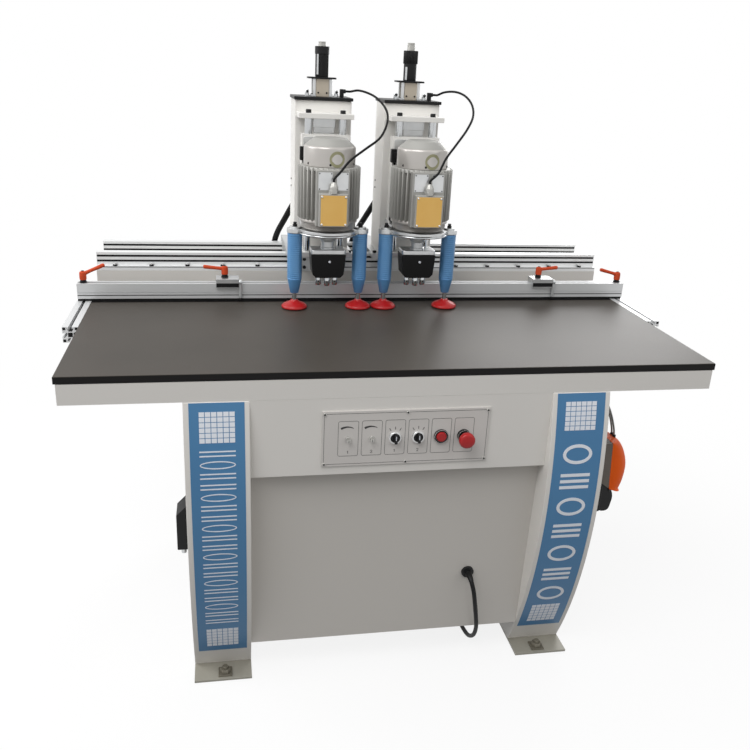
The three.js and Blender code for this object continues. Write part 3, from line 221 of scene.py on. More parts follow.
# Materials. Colours are sRGB hex values.


# An sRGB hex colour as linear light: c / 12.92 when dark, else ((c + 0.055) / 1.055) to the power 2.4.
def toLinear(text):
    parts = [int(text[k:k + 2], 16) / 255 for k in (1, 3, 5)]
    return [c / 12.92 if c <= 0.04045 else ((c + 0.055) / 1.055) ** 2.4 for c in parts] + [1.0]


def addNode(tree, kind, settings=(), links=()):
    node = tree.nodes.new(kind)
    for key, value in dict(settings).items():
        if isinstance(key, int) or key in node.inputs:
            node.inputs[key].default_value = value
        else:
            setattr(node, key, value)
    for key, source in dict(links).items():
        tree.links.new(source, node.inputs[key])
    return node


def startMaterial(name):
    material = bpy.data.materials.new(name)
    material.use_nodes = True
    tree = material.node_tree
    tree.nodes.clear()
    place = addNode(tree, "ShaderNodeTexCoord").outputs["Object"]
    return material, tree, place


mixFirst, mixSecond, mixResult = 6, 7, 2  # a colour mix's sockets share their names, so they go by number


# One surface: a colour that drifts between two tones, a roughness that drifts, and a fine relief. Drift and grain are
# counts per metre. "lower" gives a height in metres and the colour of all that is below it.
def surface(name, tones, roughness, metallic=0.0, drift=6.0, grain=900.0, relief=0.05, stretch=(1, 1, 1),
            specular=0.5, lower=None):
    material, tree, place = startMaterial(name)
    spread = addNode(tree, "ShaderNodeMapping", {"Scale": stretch}, {"Vector": place}).outputs["Vector"]
    cloud = addNode(tree, "ShaderNodeTexNoise", {"Scale": drift, "Detail": 3.0}, {"Vector": spread}).outputs["Fac"]
    fine = addNode(tree, "ShaderNodeTexNoise", {"Scale": grain, "Detail": 2.0}, {"Vector": spread}).outputs["Fac"]
    blend = addNode(tree, "ShaderNodeMix",
                    {"data_type": "RGBA", mixFirst: toLinear(tones[0]), mixSecond: toLinear(tones[1])},
                    {"Factor": cloud})
    if lower:
        height = addNode(tree, "ShaderNodeSeparateXYZ", {}, {0: place}).outputs["Z"]
        under = addNode(tree, "ShaderNodeMath", {"operation": "LESS_THAN", 1: lower[0]}, {0: height})
        blend = addNode(tree, "ShaderNodeMix", {"data_type": "RGBA", mixSecond: toLinear(lower[1])},
                        {"Factor": under.outputs[0], mixFirst: blend.outputs[mixResult]})
    rough = addNode(tree, "ShaderNodeMapRange", {"To Min": roughness[0], "To Max": roughness[1]}, {"Value": fine})
    bump = addNode(tree, "ShaderNodeBump", {"Strength": relief, "Distance": mm}, {"Height": fine})
    shader = addNode(tree, "ShaderNodeBsdfPrincipled", {"Metallic": metallic, "Specular IOR Level": specular},
                     {"Base Color": blend.outputs[mixResult], "Roughness": rough.outputs["Result"],
                      "Normal": bump.outputs["Normal"]})
    addNode(tree, "ShaderNodeOutputMaterial", {}, {"Surface": shader.outputs["BSDF"]})
    return material


# Powder-coated sheet steel: warm white with a faint orange peel of about a millimetre.
powderCoat = surface("powderCoatedSteel", ("#dedbd6", "#e6e3de"), (0.38, 0.5), drift=3, grain=800, relief=0.05)
# The shelves and columns have the same coat, a little warmer.
warmCoat = surface("warmPowderCoat", ("#e7e5e0", "#efede9"), (0.35, 0.48), drift=4, grain=800, relief=0.05)
# Film-faced board: dark grey laminate, matt, with faint wiping marks.
laminate = surface("filmFacedBoard", ("#38342f", "#4a453f"), (0.4, 0.54), drift=4, grain=350, relief=0.03,
                   specular=0.24)
# The board's edge band, near black.
edgeBand = surface("edgeBandAbs", ("#0d0c0c", "#131212"), (0.45, 0.55), grain=500, relief=0.03, specular=0.15)
# Anodised extrusions: satin silver with drawing lines along their length.
drawnAluminium = surface("anodisedAluminiumX", ("#dcdddd", "#eaebeb"), (0.34, 0.48), metallic=0.4, drift=6,
                         grain=260, relief=0.04, stretch=(0.02, 1, 1))
drawnAluminiumY = surface("anodisedAluminiumY", ("#d0d1d2", "#e0e1e1"), (0.34, 0.48), metallic=0.4, drift=6,
                          grain=260, relief=0.04, stretch=(1, 0.02, 1))
# The fence is the same extrusion, duller with wear.
fenceAluminium = surface("wornAluminium", ("#c6c7c8", "#d5d6d6"), (0.36, 0.5), metallic=0.4, drift=6, grain=260,
                         relief=0.04, stretch=(0.02, 1, 1))
# Milled aluminium plates: brighter, with cutter marks of about a millimetre.
milledAluminium = surface("milledAluminium", ("#bdbfc0", "#d6d7d7"), (0.25, 0.38), metallic=0.9, drift=30, grain=700,
                          relief=0.06)
# Die-cast aluminium under silver-grey paint: a fine sandy skin.
castAluminium = surface("paintedCastAluminium", ("#9b9a96", "#aaa9a4"), (0.38, 0.52), metallic=0.2, drift=12,
                        grain=1100, relief=0.12)
# The fan cowl's sheet steel has the same paint, smoother and paler.
cowlPaint = surface("silverCowlPaint", ("#b3afab", "#c0bcb7"), (0.28, 0.38), metallic=0.4, drift=10, grain=800,
                    relief=0.05)
# Pale zinc primer of the foot plates.
zincPrimer = surface("zincPrimer", ("#908d83", "#9f9c91"), (0.42, 0.55), metallic=0.1, drift=12, grain=600,
                     relief=0.06)
# The panel between the legs: the same coat, with painted shade below 0.5815 m that makes its recessed lower sheet
# greyer, for the shade under the table.
panelCoatShadedBelow = surface("panelPowderCoatShadedBelow", ("#dedbd6", "#e6e3de"), (0.38, 0.5), drift=3, grain=800, relief=0.05,
                    lower=(0.5815, "#cbc7c1"))
# Galvanised steel of plates, washers and straps.
galvanised = surface("galvanisedSteel", ("#9b9a96", "#b8b7b2"), (0.35, 0.5), metallic=0.7, drift=40, grain=600,
                     relief=0.08)
# Steel of the anchors, painted dark grey as painted shade over their zinc, with brown spots.
anchorSteelPaintedShade = surface("anchorSteelShade", ("#5f5b50", "#7d786b"), (0.45, 0.6), metallic=0.4, drift=60, grain=500, relief=0.1)
# Hard-chromed rods and fittings: bright mirror with a slight haze.
chrome = surface("hardChrome", ("#b9bbbd", "#c9cbcc"), (0.08, 0.16), metallic=1.0, drift=20, grain=400, relief=0.01)
# Oiled black steel of screws and the cap plate.
blackSteel = surface("blackOxideSteel", ("#101011", "#1a1a1b"), (0.35, 0.5), metallic=0.2, drift=30, grain=900,
                     relief=0.05, specular=0.25)
# Satin black lacquer of the gear housings.
blackLacquer = surface("blackLacquer", ("#080808", "#0e0e0f"), (0.34, 0.46), drift=20, grain=800, relief=0.06,
                       specular=0.18)
# Weathered grey plastic of the pedal's skirt.
warmGrey = surface("warmGreyPlastic", ("#5d564f", "#6b635b"), (0.45, 0.6), drift=20, grain=700, relief=0.05)
# Black moulded plastic, matt.
blackPlastic = surface("blackNylon", ("#0c0c0d", "#141415"), (0.4, 0.55), drift=20, grain=1000, relief=0.06,
                       specular=0.25)
# Blue anodised cylinder barrels with a satin shine.
blueBarrel = surface("blueAnodised", ("#5089c0", "#6a9fce"), (0.24, 0.34), metallic=0.2, drift=20, grain=900,
                     relief=0.03)
# Glossy red plastic of the feet and buttons.
redGloss = surface("redMouldedPlastic", ("#a3171b", "#b82121"), (0.24, 0.34), drift=14, grain=500, relief=0.02,
                   specular=0.35)
# Orange-red nylon of the levers, matt and a little faded.
leverNylon = surface("orangeRedNylon", ("#c04526", "#cd5534"), (0.5, 0.62), drift=14, grain=800, relief=0.05,
                     specular=0.1)
# The pedal hood is orange nylon, painted brighter as painted light to make up for the shade it lies in under the
# table.
hoodNylonPaintedLight = surface("orangeNylonPaintedLight", ("#fb5f18", "#ff7024"), (0.45, 0.58), drift=14, grain=800, relief=0.05,
                    specular=0.15)
# Turned steel of glands and the gearbox neck: bright, with a fine turning haze.
turnedSteel = surface("turnedSteel", ("#c2c4c5", "#d4d6d6"), (0.26, 0.36), metallic=0.5, drift=30, grain=700,
                      relief=0.05)
# The frame's coat with painted shade: above 0.83 m it is painted greyer for the shade that the bed behind the table
# lies in, and below that height it has the plain coat.
frameCoatShadedBed = surface("framePowderCoatShadedBed", ("#ccc9c4", "#d5d2cd"), (0.4, 0.52), drift=3, grain=800, relief=0.05,
                    lower=(0.83, "#e2dfda"))
# Printed aluminium sheet of the control plate.
printedSheet = surface("printedAluminiumSheet", ("#cdc9c5", "#d6d2ce"), (0.38, 0.5), drift=5, grain=700, relief=0.02)
# Screen-printed dark ink.
darkInk = surface("darkInk", ("#2b2a2a", "#383636"), (0.5, 0.6), drift=20, grain=500, relief=0.0)
# Vinyl film of the leg strips.
blueVinyl = surface("blueVinylFilm", ("#487ba7", "#5084af"), (0.32, 0.42), drift=4, grain=300, relief=0.01,
                    specular=0.35)
whiteVinyl = surface("whiteVinylFilm", ("#e4e8f0", "#edf0f6"), (0.35, 0.45), drift=8, grain=300, relief=0.01)
# Brass-coloured alloy block under the depth sleeve.
tanAlloy = surface("champagneAnodised", ("#b1a797", "#beb4a4"), (0.3, 0.42), metallic=0.45, drift=30, grain=900,
                   relief=0.05)
# Amber lacquered plate and gold ring on the motor.
amberLacquer = surface("amberLacquer", ("#eab860", "#f1c471"), (0.3, 0.4), drift=25, grain=600, relief=0.02)
goldFoil = surface("goldFoil", ("#8d8b6c", "#9b997a"), (0.35, 0.45), metallic=0.3, drift=25, grain=600, relief=0.02)
# Smoke-grey polyurethane air tube.
airTubeNylon = surface("smokedPolyurethane", ("#8b8c8a", "#989a97"), (0.25, 0.35), drift=20, grain=500, relief=0.0)
# Soft rubber jacket of the cords.
cordJacket = surface("rubberJacket", ("#08080a", "#0f0f10"), (0.45, 0.58), drift=60, grain=1500, relief=0.05,
                     specular=0.18)
print("materials made")


# The mains lead falls from its gland to the floor and is coiled there.
leadRoute = [
    (198.0, 32.51, 263.43), (198.49, 17.92, 262.14), (200.5, 5.05, 252.09), (205.0, -0.96, 231.99),
    (212.99, 1.9, 189.99), (222.98, 11.91, 140.0), (231.0, 27.08, 100.05), (235.02, 51.97, 58.05),
]
coil = {"turns": 6, "middle": 66, "radius": 5.5, "gap": 0.7, "lift": 0.2, "x": 152.3, "y": 330, "head": 11,
        "tail": 52, "steps": 24, "climb": 0.5}


# A flat spiral in two layers: the radius shrinks by one pitch a turn, then grows again one layer higher. The line
# climbs to that layer within half a turn, by climb squared * (3 - 2 * climb).
def coilLine():
    pitch = 2 * coil["radius"] + coil["gap"]
    outer = coil["middle"] + coil["turns"] / 4 * pitch
    low = coil["radius"] + coil["lift"]
    inward = coil["turns"] / 2
    turn = np.linspace(0, coil["turns"], coil["turns"] * coil["steps"] + 1)
    radius = outer - pitch * np.where(turn < inward, turn, coil["turns"] - turn)
    climb = np.clip((turn - inward) / coil["climb"] + 0.5, 0, 1)
    climb = climb ** 2 * (3 - 2 * climb)
    angle = 2 * math.pi * turn
    return np.stack([coil["x"] + radius * np.cos(angle), coil["y"] + radius * np.sin(angle), low + pitch * climb],
                    axis=-1), outer, low, low + pitch


coilPoints, coilOuter, lowLayer, highLayer = coilLine()
coilStartX = coil["x"] + coilOuter
leadLanding = [
    (coilStartX, 92.04, 25.03), (coilStartX, 140.11, 10.6), (coilStartX, 189.91, 6.73), (coilStartX, 250.01, 5.96),
    (coilStartX, 290.09, lowLayer), (coilStartX, coil["y"] - coil["head"], lowLayer),
]
leadLine = np.vstack([
    smoothLine(leadRoute + leadLanding, 8),
    coilPoints,
    [(coilStartX, coil["y"] + coil["tail"], highLayer)],
])


plug = {"start": 382.3, "sleeve": 26, "sleeveRadius": 9, "grip": 62, "collar": 15, "skirt": 30, "ribs": 5,
        "ribFrom": 40, "ribPitch": 6, "pins": 4, "pinRadius": 2.3, "pinLength": 24}
gland = {"place": (198, 44.8, 264), "tilt": 2.66, "relief": (8.5, 6.0), "reliefPoints": 14,
         "profile": [(16, -1), (16, 4.8), (14.6, 5.8), (8.8, 5.8), (8.8, 12.6)]}
leadGuide = (1, 0.05, 0.3)  # a direction that the lead never runs in


# The plug is turned about the lead's end, as wide as its height above the floor. On this axis heights run to the
# front, so its distances to the back are made negative.
def plugShells():
    start, neck, wide = plug["start"], plug["sleeveRadius"], highLayer
    face = start + plug["sleeve"] + plug["grip"]
    rim, end = face + plug["collar"], face + plug["skirt"]
    grip = [(neck - 2, start), (neck, start + 3), (neck, start + 20), (wide - 4, start + 30), (wide - 2, start + 36),
            (wide - 2.6, face - 12), (wide - 2.6, face), (wide - 0.3, face), (wide - 0.3, rim), (wide - 2.6, rim),
            (wide - 2.6, end), (wide - 5, end), (wide - 5, face + 3)]
    profiles = [grip]
    for k in range(plug["ribs"]):
        rib = start + plug["ribFrom"] + k * plug["ribPitch"]
        profiles.append([(wide - 2.2, rib), (wide - 1.2, rib + 1), (wide - 1.2, rib + 3), (wide - 2.2, rib + 4)])
    handle = [latheShell([(r, -back) for r, back in profile], (coilStartX, 0, highLayer), "y", 40)
              for profile in profiles]
    pins = []
    for k in range(plug["pins"]):
        angle = 2 * math.pi / plug["pins"] * (k + 0.5)
        centre = (coilStartX + wide / 2 * math.cos(angle), 0, highLayer + wide / 2 * math.sin(angle))
        tip = face + plug["pinLength"]
        pins.append(latheShell([(plug["pinRadius"], -face - 2), (plug["pinRadius"], -tip), (1.4, -tip - 2)], centre,
                               "y", 16))
    return handle, pins


def buildMains():
    jacket = makePiece("mainsLead", [tubeShell(leadLine, coil["radius"], 14, leadGuide)], cordJacket, "base",
                       ["mains_lead", "mains_coil"])
    handle, pins = plugShells()
    body = makePiece("mainsPlug", handle, blackPlastic, "base", ["mains_plug"])
    prongs = makePiece("mainsPlugPins", pins, chrome, "base")
    # The gland leans with the lead that leaves it, and a tapered sleeve relieves the first bend.
    count = gland["reliefPoints"]
    relief = tubeShell(leadLine[:count], np.linspace(*gland["relief"], count), 20, leadGuide)
    nutPoints, nutFaces = latheShell(gland["profile"], (0, 0, 0), "y", 24)
    cosine, sine = math.cos(math.radians(gland["tilt"])), math.sin(math.radians(gland["tilt"]))
    turn = np.array([[1, 0, 0], [0, cosine, -sine], [0, sine, cosine]])
    nut = (nutPoints @ turn.T + np.array(gland["place"]), nutFaces)
    makePiece("leadGland", [nut, relief], blackPlastic, "base", bevel=0.4)


buildMains()
print("mains lead made")


# Motor cables: from the gland of the terminal box up to the socket on the column cap.
motorCable = {
    "radius": 3, "low": (0, 402, 1186.3), "high": (64.3, 690, 1392.3), "straight": 6, "blendFrom": 6, "blendTo": -40,
    "left": [(0.227, 0.007, 0.107), (0.626, 0.042, 0.246), (1.248, 0.108, 0.377), (1.907, 0.208, 0.506),
             (2.278, 0.34, 0.662), (2.391, 0.497, 0.794), (2.241, 0.687, 0.913), (1.939, 0.854, 0.987),
             (1.498, 0.958, 1.02)],
    "right": [(0.306, 0.007, 0.122), (0.638, 0.049, 0.299), (1.146, 0.132, 0.471), (1.659, 0.243, 0.632),
              (2.066, 0.392, 0.78), (2.214, 0.566, 0.915), (2.093, 0.729, 1.016), (1.816, 0.868, 1.056),
              (1.446, 0.965, 1.04)],
}


# The middle points are shares of the way from the low end to the high end. The piece blends from the drill head to
# the carriage between the two points that are counted from its ends.
def buildMotorCable(side, dx):
    low, high = np.array(motorCable["low"], float), np.array(motorCable["high"], float)
    step = motorCable["straight"]
    middle = low + (high - low) * np.array(motorCable[side])
    route = np.vstack([low, low + (0, 0, step), middle, high + (2 * step, 0, 0), high + (step, 0, 0), high])
    line = smoothLine(route + (dx, 0, 0), 8)
    piece = makePiece(f"{side}MotorCable", [tubeShell(line, motorCable["radius"], 12, (0.9, -0.5, 0.1))], cordJacket,
                      None, [f"{side}_motor_cable"])
    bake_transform(piece)


# Table top with its edge band.
table = {"half": 750, "depth": 562, "top": 834, "thickness": 17, "band": 0.3, "rightBand": 0.25, "bandLow": 0.6,
         "bandHigh": 1.2, "lip": 18, "lipHeight": 5}


# The edge band is a thin skin on the edges, with a lip behind.
def buildTable():
    half, depth, top, band = table["half"], table["depth"], table["top"], table["band"]
    under = top - table["thickness"]
    low, high = under + table["bandLow"], top - table["bandHigh"]
    makePiece("tableTop", [boxShell(-half, half, 0, depth, under, top)], laminate, "base",
              ["table_top"], bevel=1.0)
    skins = [
        boxShell(-half - band, half + band, -band, 0, low, high),
        boxShell(-half - band, -half, 0, depth, low, high),
        boxShell(half, half + table["rightBand"], 0, depth, low, high),
        boxShell(-half, half, depth, depth + table["lip"], top - table["lipHeight"], top - band),
    ]
    makePiece("tableEdgeBand", skins, edgeBand, "base")
    dress(frameCoatShadedBed, "machine_frame")


# Legs with their foot plates, anchors, strips and the air inlet on the left one.
leg = {"inner": 349, "outer": 491, "bulge": 28, "bulgeHeight": 520, "radius": 1180, "back": 760, "top": 769.4,
       "foot": 6, "footReach": 65, "tail": 40}
strip = {"inner": 360, "outer": 479, "low": 66, "high": 768, "proud": 0.5}
filmBed = 0.05  # films start this far off the leg's face
anchor = {"inset": 66, "fromFront": 24, "fromBack": 15.5, "washerHalf": 17, "washerTop": 10,
          "nut": [(14, 10), (14, 17.5), (12, 20)], "bolt": [(7, 20), (7, 26), (6, 27)]}
airInlet = {"outline": [(-490, 391), (-490, 506), (-494, 505), (-516.8, 482), (-516.8, 391)], "front": 20, "back": 80,
            "port": [(6, 0), (6, 14), (4.5, 15)], "ports": ((-503, 36, 376), (-503, 64, 376))}


# The leg's front is an arc seen from the side: y = radius - bulge - root of (radius squared - climb squared), where
# the climb is the height above the arc's middle.
def legFront(z):
    climb = np.asarray(z, float) - leg["bulgeHeight"]
    return leg["radius"] - leg["bulge"] - np.sqrt(leg["radius"] ** 2 - climb ** 2)


# A thin sheet that follows the leg's front: x runs across, z runs up, and y is the arc less the sheet's height.
def onLeg(x0, x1, z0, z1, proud, steps=2):
    z = np.linspace(z0, z1, steps)
    inner, outer = legFront(z) - filmBed, legFront(z) - proud
    corners = ((x0, outer), (x1, outer), (x1, inner), (x0, inner))
    return gridShell(np.stack([np.stack([np.full_like(z, x), y, z], axis=-1) for x, y in corners], axis=1))


# An ellipse ring on the strip: two ellipses a stroke apart, carried onto the arc of the leg.
def ringOnLeg(cx, cz, rx, rz, stroke, proud, steps=28):
    cosine, sine = ringOf(steps)
    layers = []
    for shrink, height in ((0, filmBed), (0, proud), (stroke, proud), (stroke, filmBed)):
        z = cz + (rz - shrink) * sine
        layers.append(np.stack([cx + (rx - shrink) * cosine, legFront(z) - height, z], axis=-1))
    return gridShell(np.stack(layers), closedRows=True)


def buildLegs():
    for side, sign in (("left", -1), ("right", 1)):
        z = np.linspace(leg["foot"] / 2, leg["top"], 60)
        outline = list(zip(legFront(z), z)) + [(leg["back"], leg["top"]), (leg["back"], leg["foot"] / 2)]
        x0, x1 = sorted((sign * leg["inner"], sign * leg["outer"]))
        makePiece(f"{side}LegShell", [prismShell(outline, x0, x1, "x")], powderCoat, "base",
                  [f"{side}_leg"], bevel=1.6)
        front = float(legFront(leg["foot"])) - leg["footReach"]
        back = leg["back"] + leg["tail"]
        makePiece(f"{side}FootPlate", [boxShell(x0, x1, front, back, 0, leg["foot"])], zincPrimer, "base",
                  bevel=0.8)
        x, half = sign * (leg["inner"] + anchor["inset"]), anchor["washerHalf"]
        washers, bolts = [], []
        for y in (front + anchor["fromFront"], back - anchor["fromBack"]):
            washers.append(slabShell(x, half, y - half, y + half, leg["foot"], anchor["washerTop"]))
            bolts.append(latheShell(anchor["nut"], (x, y, 0), "z", 6))
            bolts.append(latheShell(anchor["bolt"], (x, y, 0), "z", 24))
        makePiece(f"{side}AnchorWashers", washers, anchorSteelPaintedShade, "base", bevel=0.8)
        makePiece(f"{side}AnchorBolts", bolts, anchorSteelPaintedShade, "base", bevel=0.5)
        film = onLeg(sign * strip["inner"], sign * strip["outer"], strip["low"], strip["high"], strip["proud"], 60)
        makePiece(f"{side}BlueStrip", [film], blueVinyl, "base", sharp=60)
    inlet = prismShell(airInlet["outline"], airInlet["front"], airInlet["back"], "y")
    makePiece("airInletBox", [inlet], blackPlastic, "base", bevel=2.0, segments=3)
    ports = [latheShell(airInlet["port"], place, "z", 20) for place in airInlet["ports"]]
    makePiece("airInletPorts", ports, chrome, "base")


# Plain motif on the strips: squares at both ends, and between them rows of bars with a ring in every second or third
# row. Bars are given by the heights of their edges over the middle of the row.
motif = {
    "proud": 0.9, "squares": ((679, 749), (86, 156)), "squareHalf": 39, "squareCount": 6, "squareGap": 1.6,
    "ringShare": 0.36,
    "left": {"rows": 19, "top": 668, "bottom": 172, "half": 39, "ringEvery": 3, "firstRing": 1, "stroke": 2.6,
             "bars": ((-6.5, -3.5), (3.5, 6.5))},
    "right": {"rows": 7, "top": 655, "bottom": 166, "half": 37, "ringEvery": 2, "firstRing": 0, "stroke": 8,
              "bars": ((-20, -12), (-4, 4), (12, 20))},
}


# A field of small squares: it is cut evenly across and up, and each square is trimmed by half the gap all round.
def squaresOnLeg(cx, z0, z1):
    count, trim = motif["squareCount"], motif["squareGap"] / 2
    x = np.linspace(cx - motif["squareHalf"], cx + motif["squareHalf"], count + 1)
    z = np.linspace(z0, z1, count + 1)
    return [onLeg(x[a] + trim, x[a + 1] - trim, z[b] + trim, z[b + 1] - trim, motif["proud"])
            for a in range(count) for b in range(count)]


def buildMotif():
    for side, sign in (("left", -1), ("right", 1)):
        plan, proud = motif[side], motif["proud"]
        x, half = sign * (strip["inner"] + strip["outer"]) / 2, plan["half"]
        shells = []
        for z0, z1 in motif["squares"]:
            shells += squaresOnLeg(x, z0, z1)
        pitch = (plan["top"] - plan["bottom"]) / plan["rows"]
        for k in range(plan["rows"]):
            z = plan["top"] - (k + 0.5) * pitch
            if k % plan["ringEvery"] == plan["firstRing"]:
                shells.append(ringOnLeg(x, z, half, pitch * motif["ringShare"], plan["stroke"], proud))
            else:
                shells += [onLeg(x - half, x + half, z + low, z + high, proud) for low, high in plan["bars"]]
        makePiece(f"{side}StripMotif", shells, whiteVinyl, "base", sharp=60)


# Control plate, with turned profiles as pairs of radius and distance to the front.
controls = {
    "x": [-130, -76, -22, 32, 86, 140], "z": 671, "front": -3.3,
    "speedKnob": [(3.9, -11), (3.9, 0.4), (6.6, 0.4), (6.6, 2.4), (5.8, 3.2), (4.2, 3.4), (4.2, 12.6), (3.6, 13)],
    "selector": [(10.9, -8.5), (10.9, 4.2), (10, 5)],
    "selectorBezel": [(11.6, -0.2), (14.9, -0.2), (14.9, 3.6), (13.2, 5.3), (11.6, 5.3)],
    "stopBezel": [(12.6, -0.2), (16.9, -0.2), (16.9, 4), (15.2, 5.4), (12.6, 5.4)],
    "stop": [(11.8, -6.8), (11.8, 6.6), (11, 8.2), (9.4, 8.9), (6, 8.6), (0.2, 8.4)],
    "emergencyBezel": [(11.7, -0.2), (15.4, -0.2), (15.4, 7), (14, 8.4), (11.7, 8.4)],
    "emergencyHead": [(10.8, 22.5), (14, 23.2), (17.6, 24.2), (18.6, 25.6), (18.6, 32), (17.9, 35), (15.6, 37.4),
                      (11, 38.6), (0.2, 38.9)],
    "emergencyStem": [(10.9, -9.5), (10.9, 23)],
    "screwX": (-184, 5, 194), "screwZ": (610, 733), "screw": [(4.2, -0.3), (4.2, 1.2), (3.2, 2.2), (0.2, 2.5)],
    "socket": [(2.4, 2.0), (2.4, 2.7)], "slit": (0.5, 3.4), "slitY": (13.2, 12), "grip": (3.5, 10.4), "gripCorner": 3,
    "gripY": (16, 4.8), "pointer": 0.9, "pointerY": (16.3, 15.9), "pointerZ": (-1, 9.6),
}
# Printed marks: a frame round all, a cell round each control, a growing arc over the speed knobs, three ticks over
# the selectors, and the numbers 1 and 2 under the first four. Points are taken from the control's middle, and those
# of the numbers from their foot.
ink = {
    "proud": 0.25, "sunk": 0.1, "stroke": 0.8, "frame": (-185, 195, 609.5, 733.5), "frameCorner": 3,
    "cellHalf": 23, "cellLow": 42, "cellHigh": 44, "cellCorner": 5,
    "arc": (60, 122), "arcRadius": 28, "arcShift": 2, "arcStroke": (1.4, 5.4), "arcPoints": 14,
    "ticks": (60, 90, 120), "tickReach": (20, 27), "tickStroke": 1.4,
    "numberDrop": 36, "numberStroke": 1.1, "one": [(-1.6, 5.4), (0, 7), (0, 0)],
    "two": [(-2.2, 5), (-1.2, 6.7), (1.2, 6.7), (2.1, 5), (1.2, 3), (-2.2, 0), (2.4, 0)],
}


# A flat band along a line on the plate, as wide as the stroke: point = line + half the stroke to either side, above
# or below the plate's face.
def inkLine(points, stroke, closed=True):
    line = np.array(points, float)
    ahead = np.roll(line, -1, axis=0) - np.roll(line, 1, axis=0) if closed else np.gradient(line, axis=0)
    ahead /= np.linalg.norm(ahead, axis=1)[:, None]
    side = np.stack([-ahead[:, 1], ahead[:, 0]], axis=-1) * stroke / 2
    layers = []
    for across, depth in ((-1, ink["sunk"]), (-1, -ink["proud"]), (1, -ink["proud"]), (1, ink["sunk"])):
        flat = line + across * side
        layers.append(np.stack([flat[:, 0], np.full(len(flat), controls["front"] + depth), flat[:, 1]], axis=-1))
    return gridShell(np.stack(layers, axis=1), closedRows=closed)


def printedMarks():
    z = controls["z"]
    marks = [inkLine(roundedOutline(rectangle(*ink["frame"]), ink["frameCorner"]), ink["stroke"])]
    for x in controls["x"]:
        cell = rectangle(x - ink["cellHalf"], x + ink["cellHalf"], z - ink["cellLow"], z + ink["cellHigh"])
        marks.append(inkLine(roundedOutline(cell, ink["cellCorner"]), ink["stroke"]))
    for x in controls["x"][:2]:
        arc = np.radians(np.linspace(*ink["arc"], ink["arcPoints"]))
        line = np.stack([x - ink["arcShift"] + ink["arcRadius"] * np.cos(arc),
                         z + ink["arcShift"] + ink["arcRadius"] * np.sin(arc)], axis=-1)
        marks.append(inkLine(line, np.linspace(*ink["arcStroke"], ink["arcPoints"])[:, None], closed=False))
    for x in controls["x"][2:4]:
        for angle in np.radians(ink["ticks"]):
            tick = [(x + r * math.cos(angle), z + r * math.sin(angle)) for r in ink["tickReach"]]
            marks.append(inkLine(tick, ink["tickStroke"], closed=False))
    for x, number in zip(controls["x"], ("one", "two", "one", "two")):
        line = np.array(ink[number]) + (x, z - ink["numberDrop"])
        marks.append(inkLine(line, ink["numberStroke"], closed=False))
    return marks


# A turned piece of the control at this place in the row.
def turnedControl(place, profile, steps=48, hollow=False):
    return latheShell(controls[profile], (controls["x"][place], controls["front"], controls["z"]), "y", steps, hollow)


def buildControlPlate():
    dress(panelCoatShadedBelow, "front_panel")
    dress(printedSheet, "control_plate")
    makePiece("controlPlateInk", printedMarks(), darkInk, "base", sharp=60)
    places = [(x, controls["front"], z) for x in controls["screwX"] for z in controls["screwZ"]]
    screws = [latheShell(controls["screw"], place, "y", 24) for place in places]
    makePiece("plateScrews", screws, galvanised, "base")
    # Black discs on the screw heads are painted shade for their sockets.
    sockets = [latheShell(controls["socket"], place, "y", 6) for place in places]
    makePiece("plateScrewSocketShade", sockets, blackSteel, "base")
    rims = [turnedControl(place, "selectorBezel", hollow=True) for place in (2, 3)]
    makePiece("selectorBezels", rims, milledAluminium, "base")
    rims = [turnedControl(4, "stopBezel", hollow=True), turnedControl(5, "emergencyBezel", hollow=True)]
    makePiece("buttonBezels", rims, blackPlastic, "base")


def buildControls():
    z, front = controls["z"], controls["front"]
    for place, side in enumerate(("left", "right")):
        x, node = controls["x"][place], f"{side}_speed_knob"
        makePiece(f"{side}SpeedKnob", [turnedControl(place, "speedKnob", 32)], galvanised, node,
                  [node])
        # The slot in the knob's end is a black slab: painted shade.
        (half, tall), (y0, y1) = controls["slit"], controls["slitY"]
        slit = slabShell(x, half, front - y0, front - y1, z - tall, z + tall)
        makePiece(f"{side}SpeedKnobSlotShade", [slit], blackSteel, node)
    for place, side in enumerate(("left", "right"), 2):
        x, node = controls["x"][place], f"{side}_selector"
        (half, tall), (y0, y1) = controls["grip"], controls["gripY"]
        grip = roundedOutline(rectangle(x - half, x + half, z - tall, z + tall), controls["gripCorner"])
        handle = prismShell(grip, front - y0, front - y1, "y")
        makePiece(f"{side}SelectorKnob", [turnedControl(place, "selector"), handle], blackPlastic, node,
                  [node], bevel=0.8)
        (y0, y1), (z0, z1) = controls["pointerY"], controls["pointerZ"]
        pointer = slabShell(x, controls["pointer"], front - y0, front - y1, z + z0, z + z1)
        makePiece(f"{side}SelectorPointer", [pointer], whiteVinyl, node)
    makePiece("stopButtonCap", [turnedControl(4, "stop")], redGloss, "stop_button", ["stop_button"])
    makePiece("emergencyStopHead", [turnedControl(5, "emergencyHead", 64)], redGloss, "emergency_stop",
              ["emergency_stop"])
    makePiece("emergencyStopStem", [turnedControl(5, "emergencyStem", 40)], blackPlastic, "emergency_stop")


buildTable()
buildLegs()
buildMotif()
buildControlPlate()
buildControls()
print("controls made")


# Guide rails on the bed. Black strips set in their grooves are painted shade that darkens the grooves; a thin black
# line runs along the seam on each rail's face.
rail = {"half": 750, "width": 56, "seat": 887, "fronts": (706, 856), "ledge": 14, "flange": 12,
        "grooves": ((909, 915), (923, 929)), "grooveShade": 3.6, "grooveShadeDepth": 1.2, "inset": 0.5, "play": 0.1,
        "seamDrop": 3, "seam": 2, "seamY": (-0.2, 0.3), "pitch": 100, "span": 700,
        "bolt": [(6.3, 0), (6.2, 3.4), (5.1, 6), (2.9, 7.2), (0.2, 7.5)]}


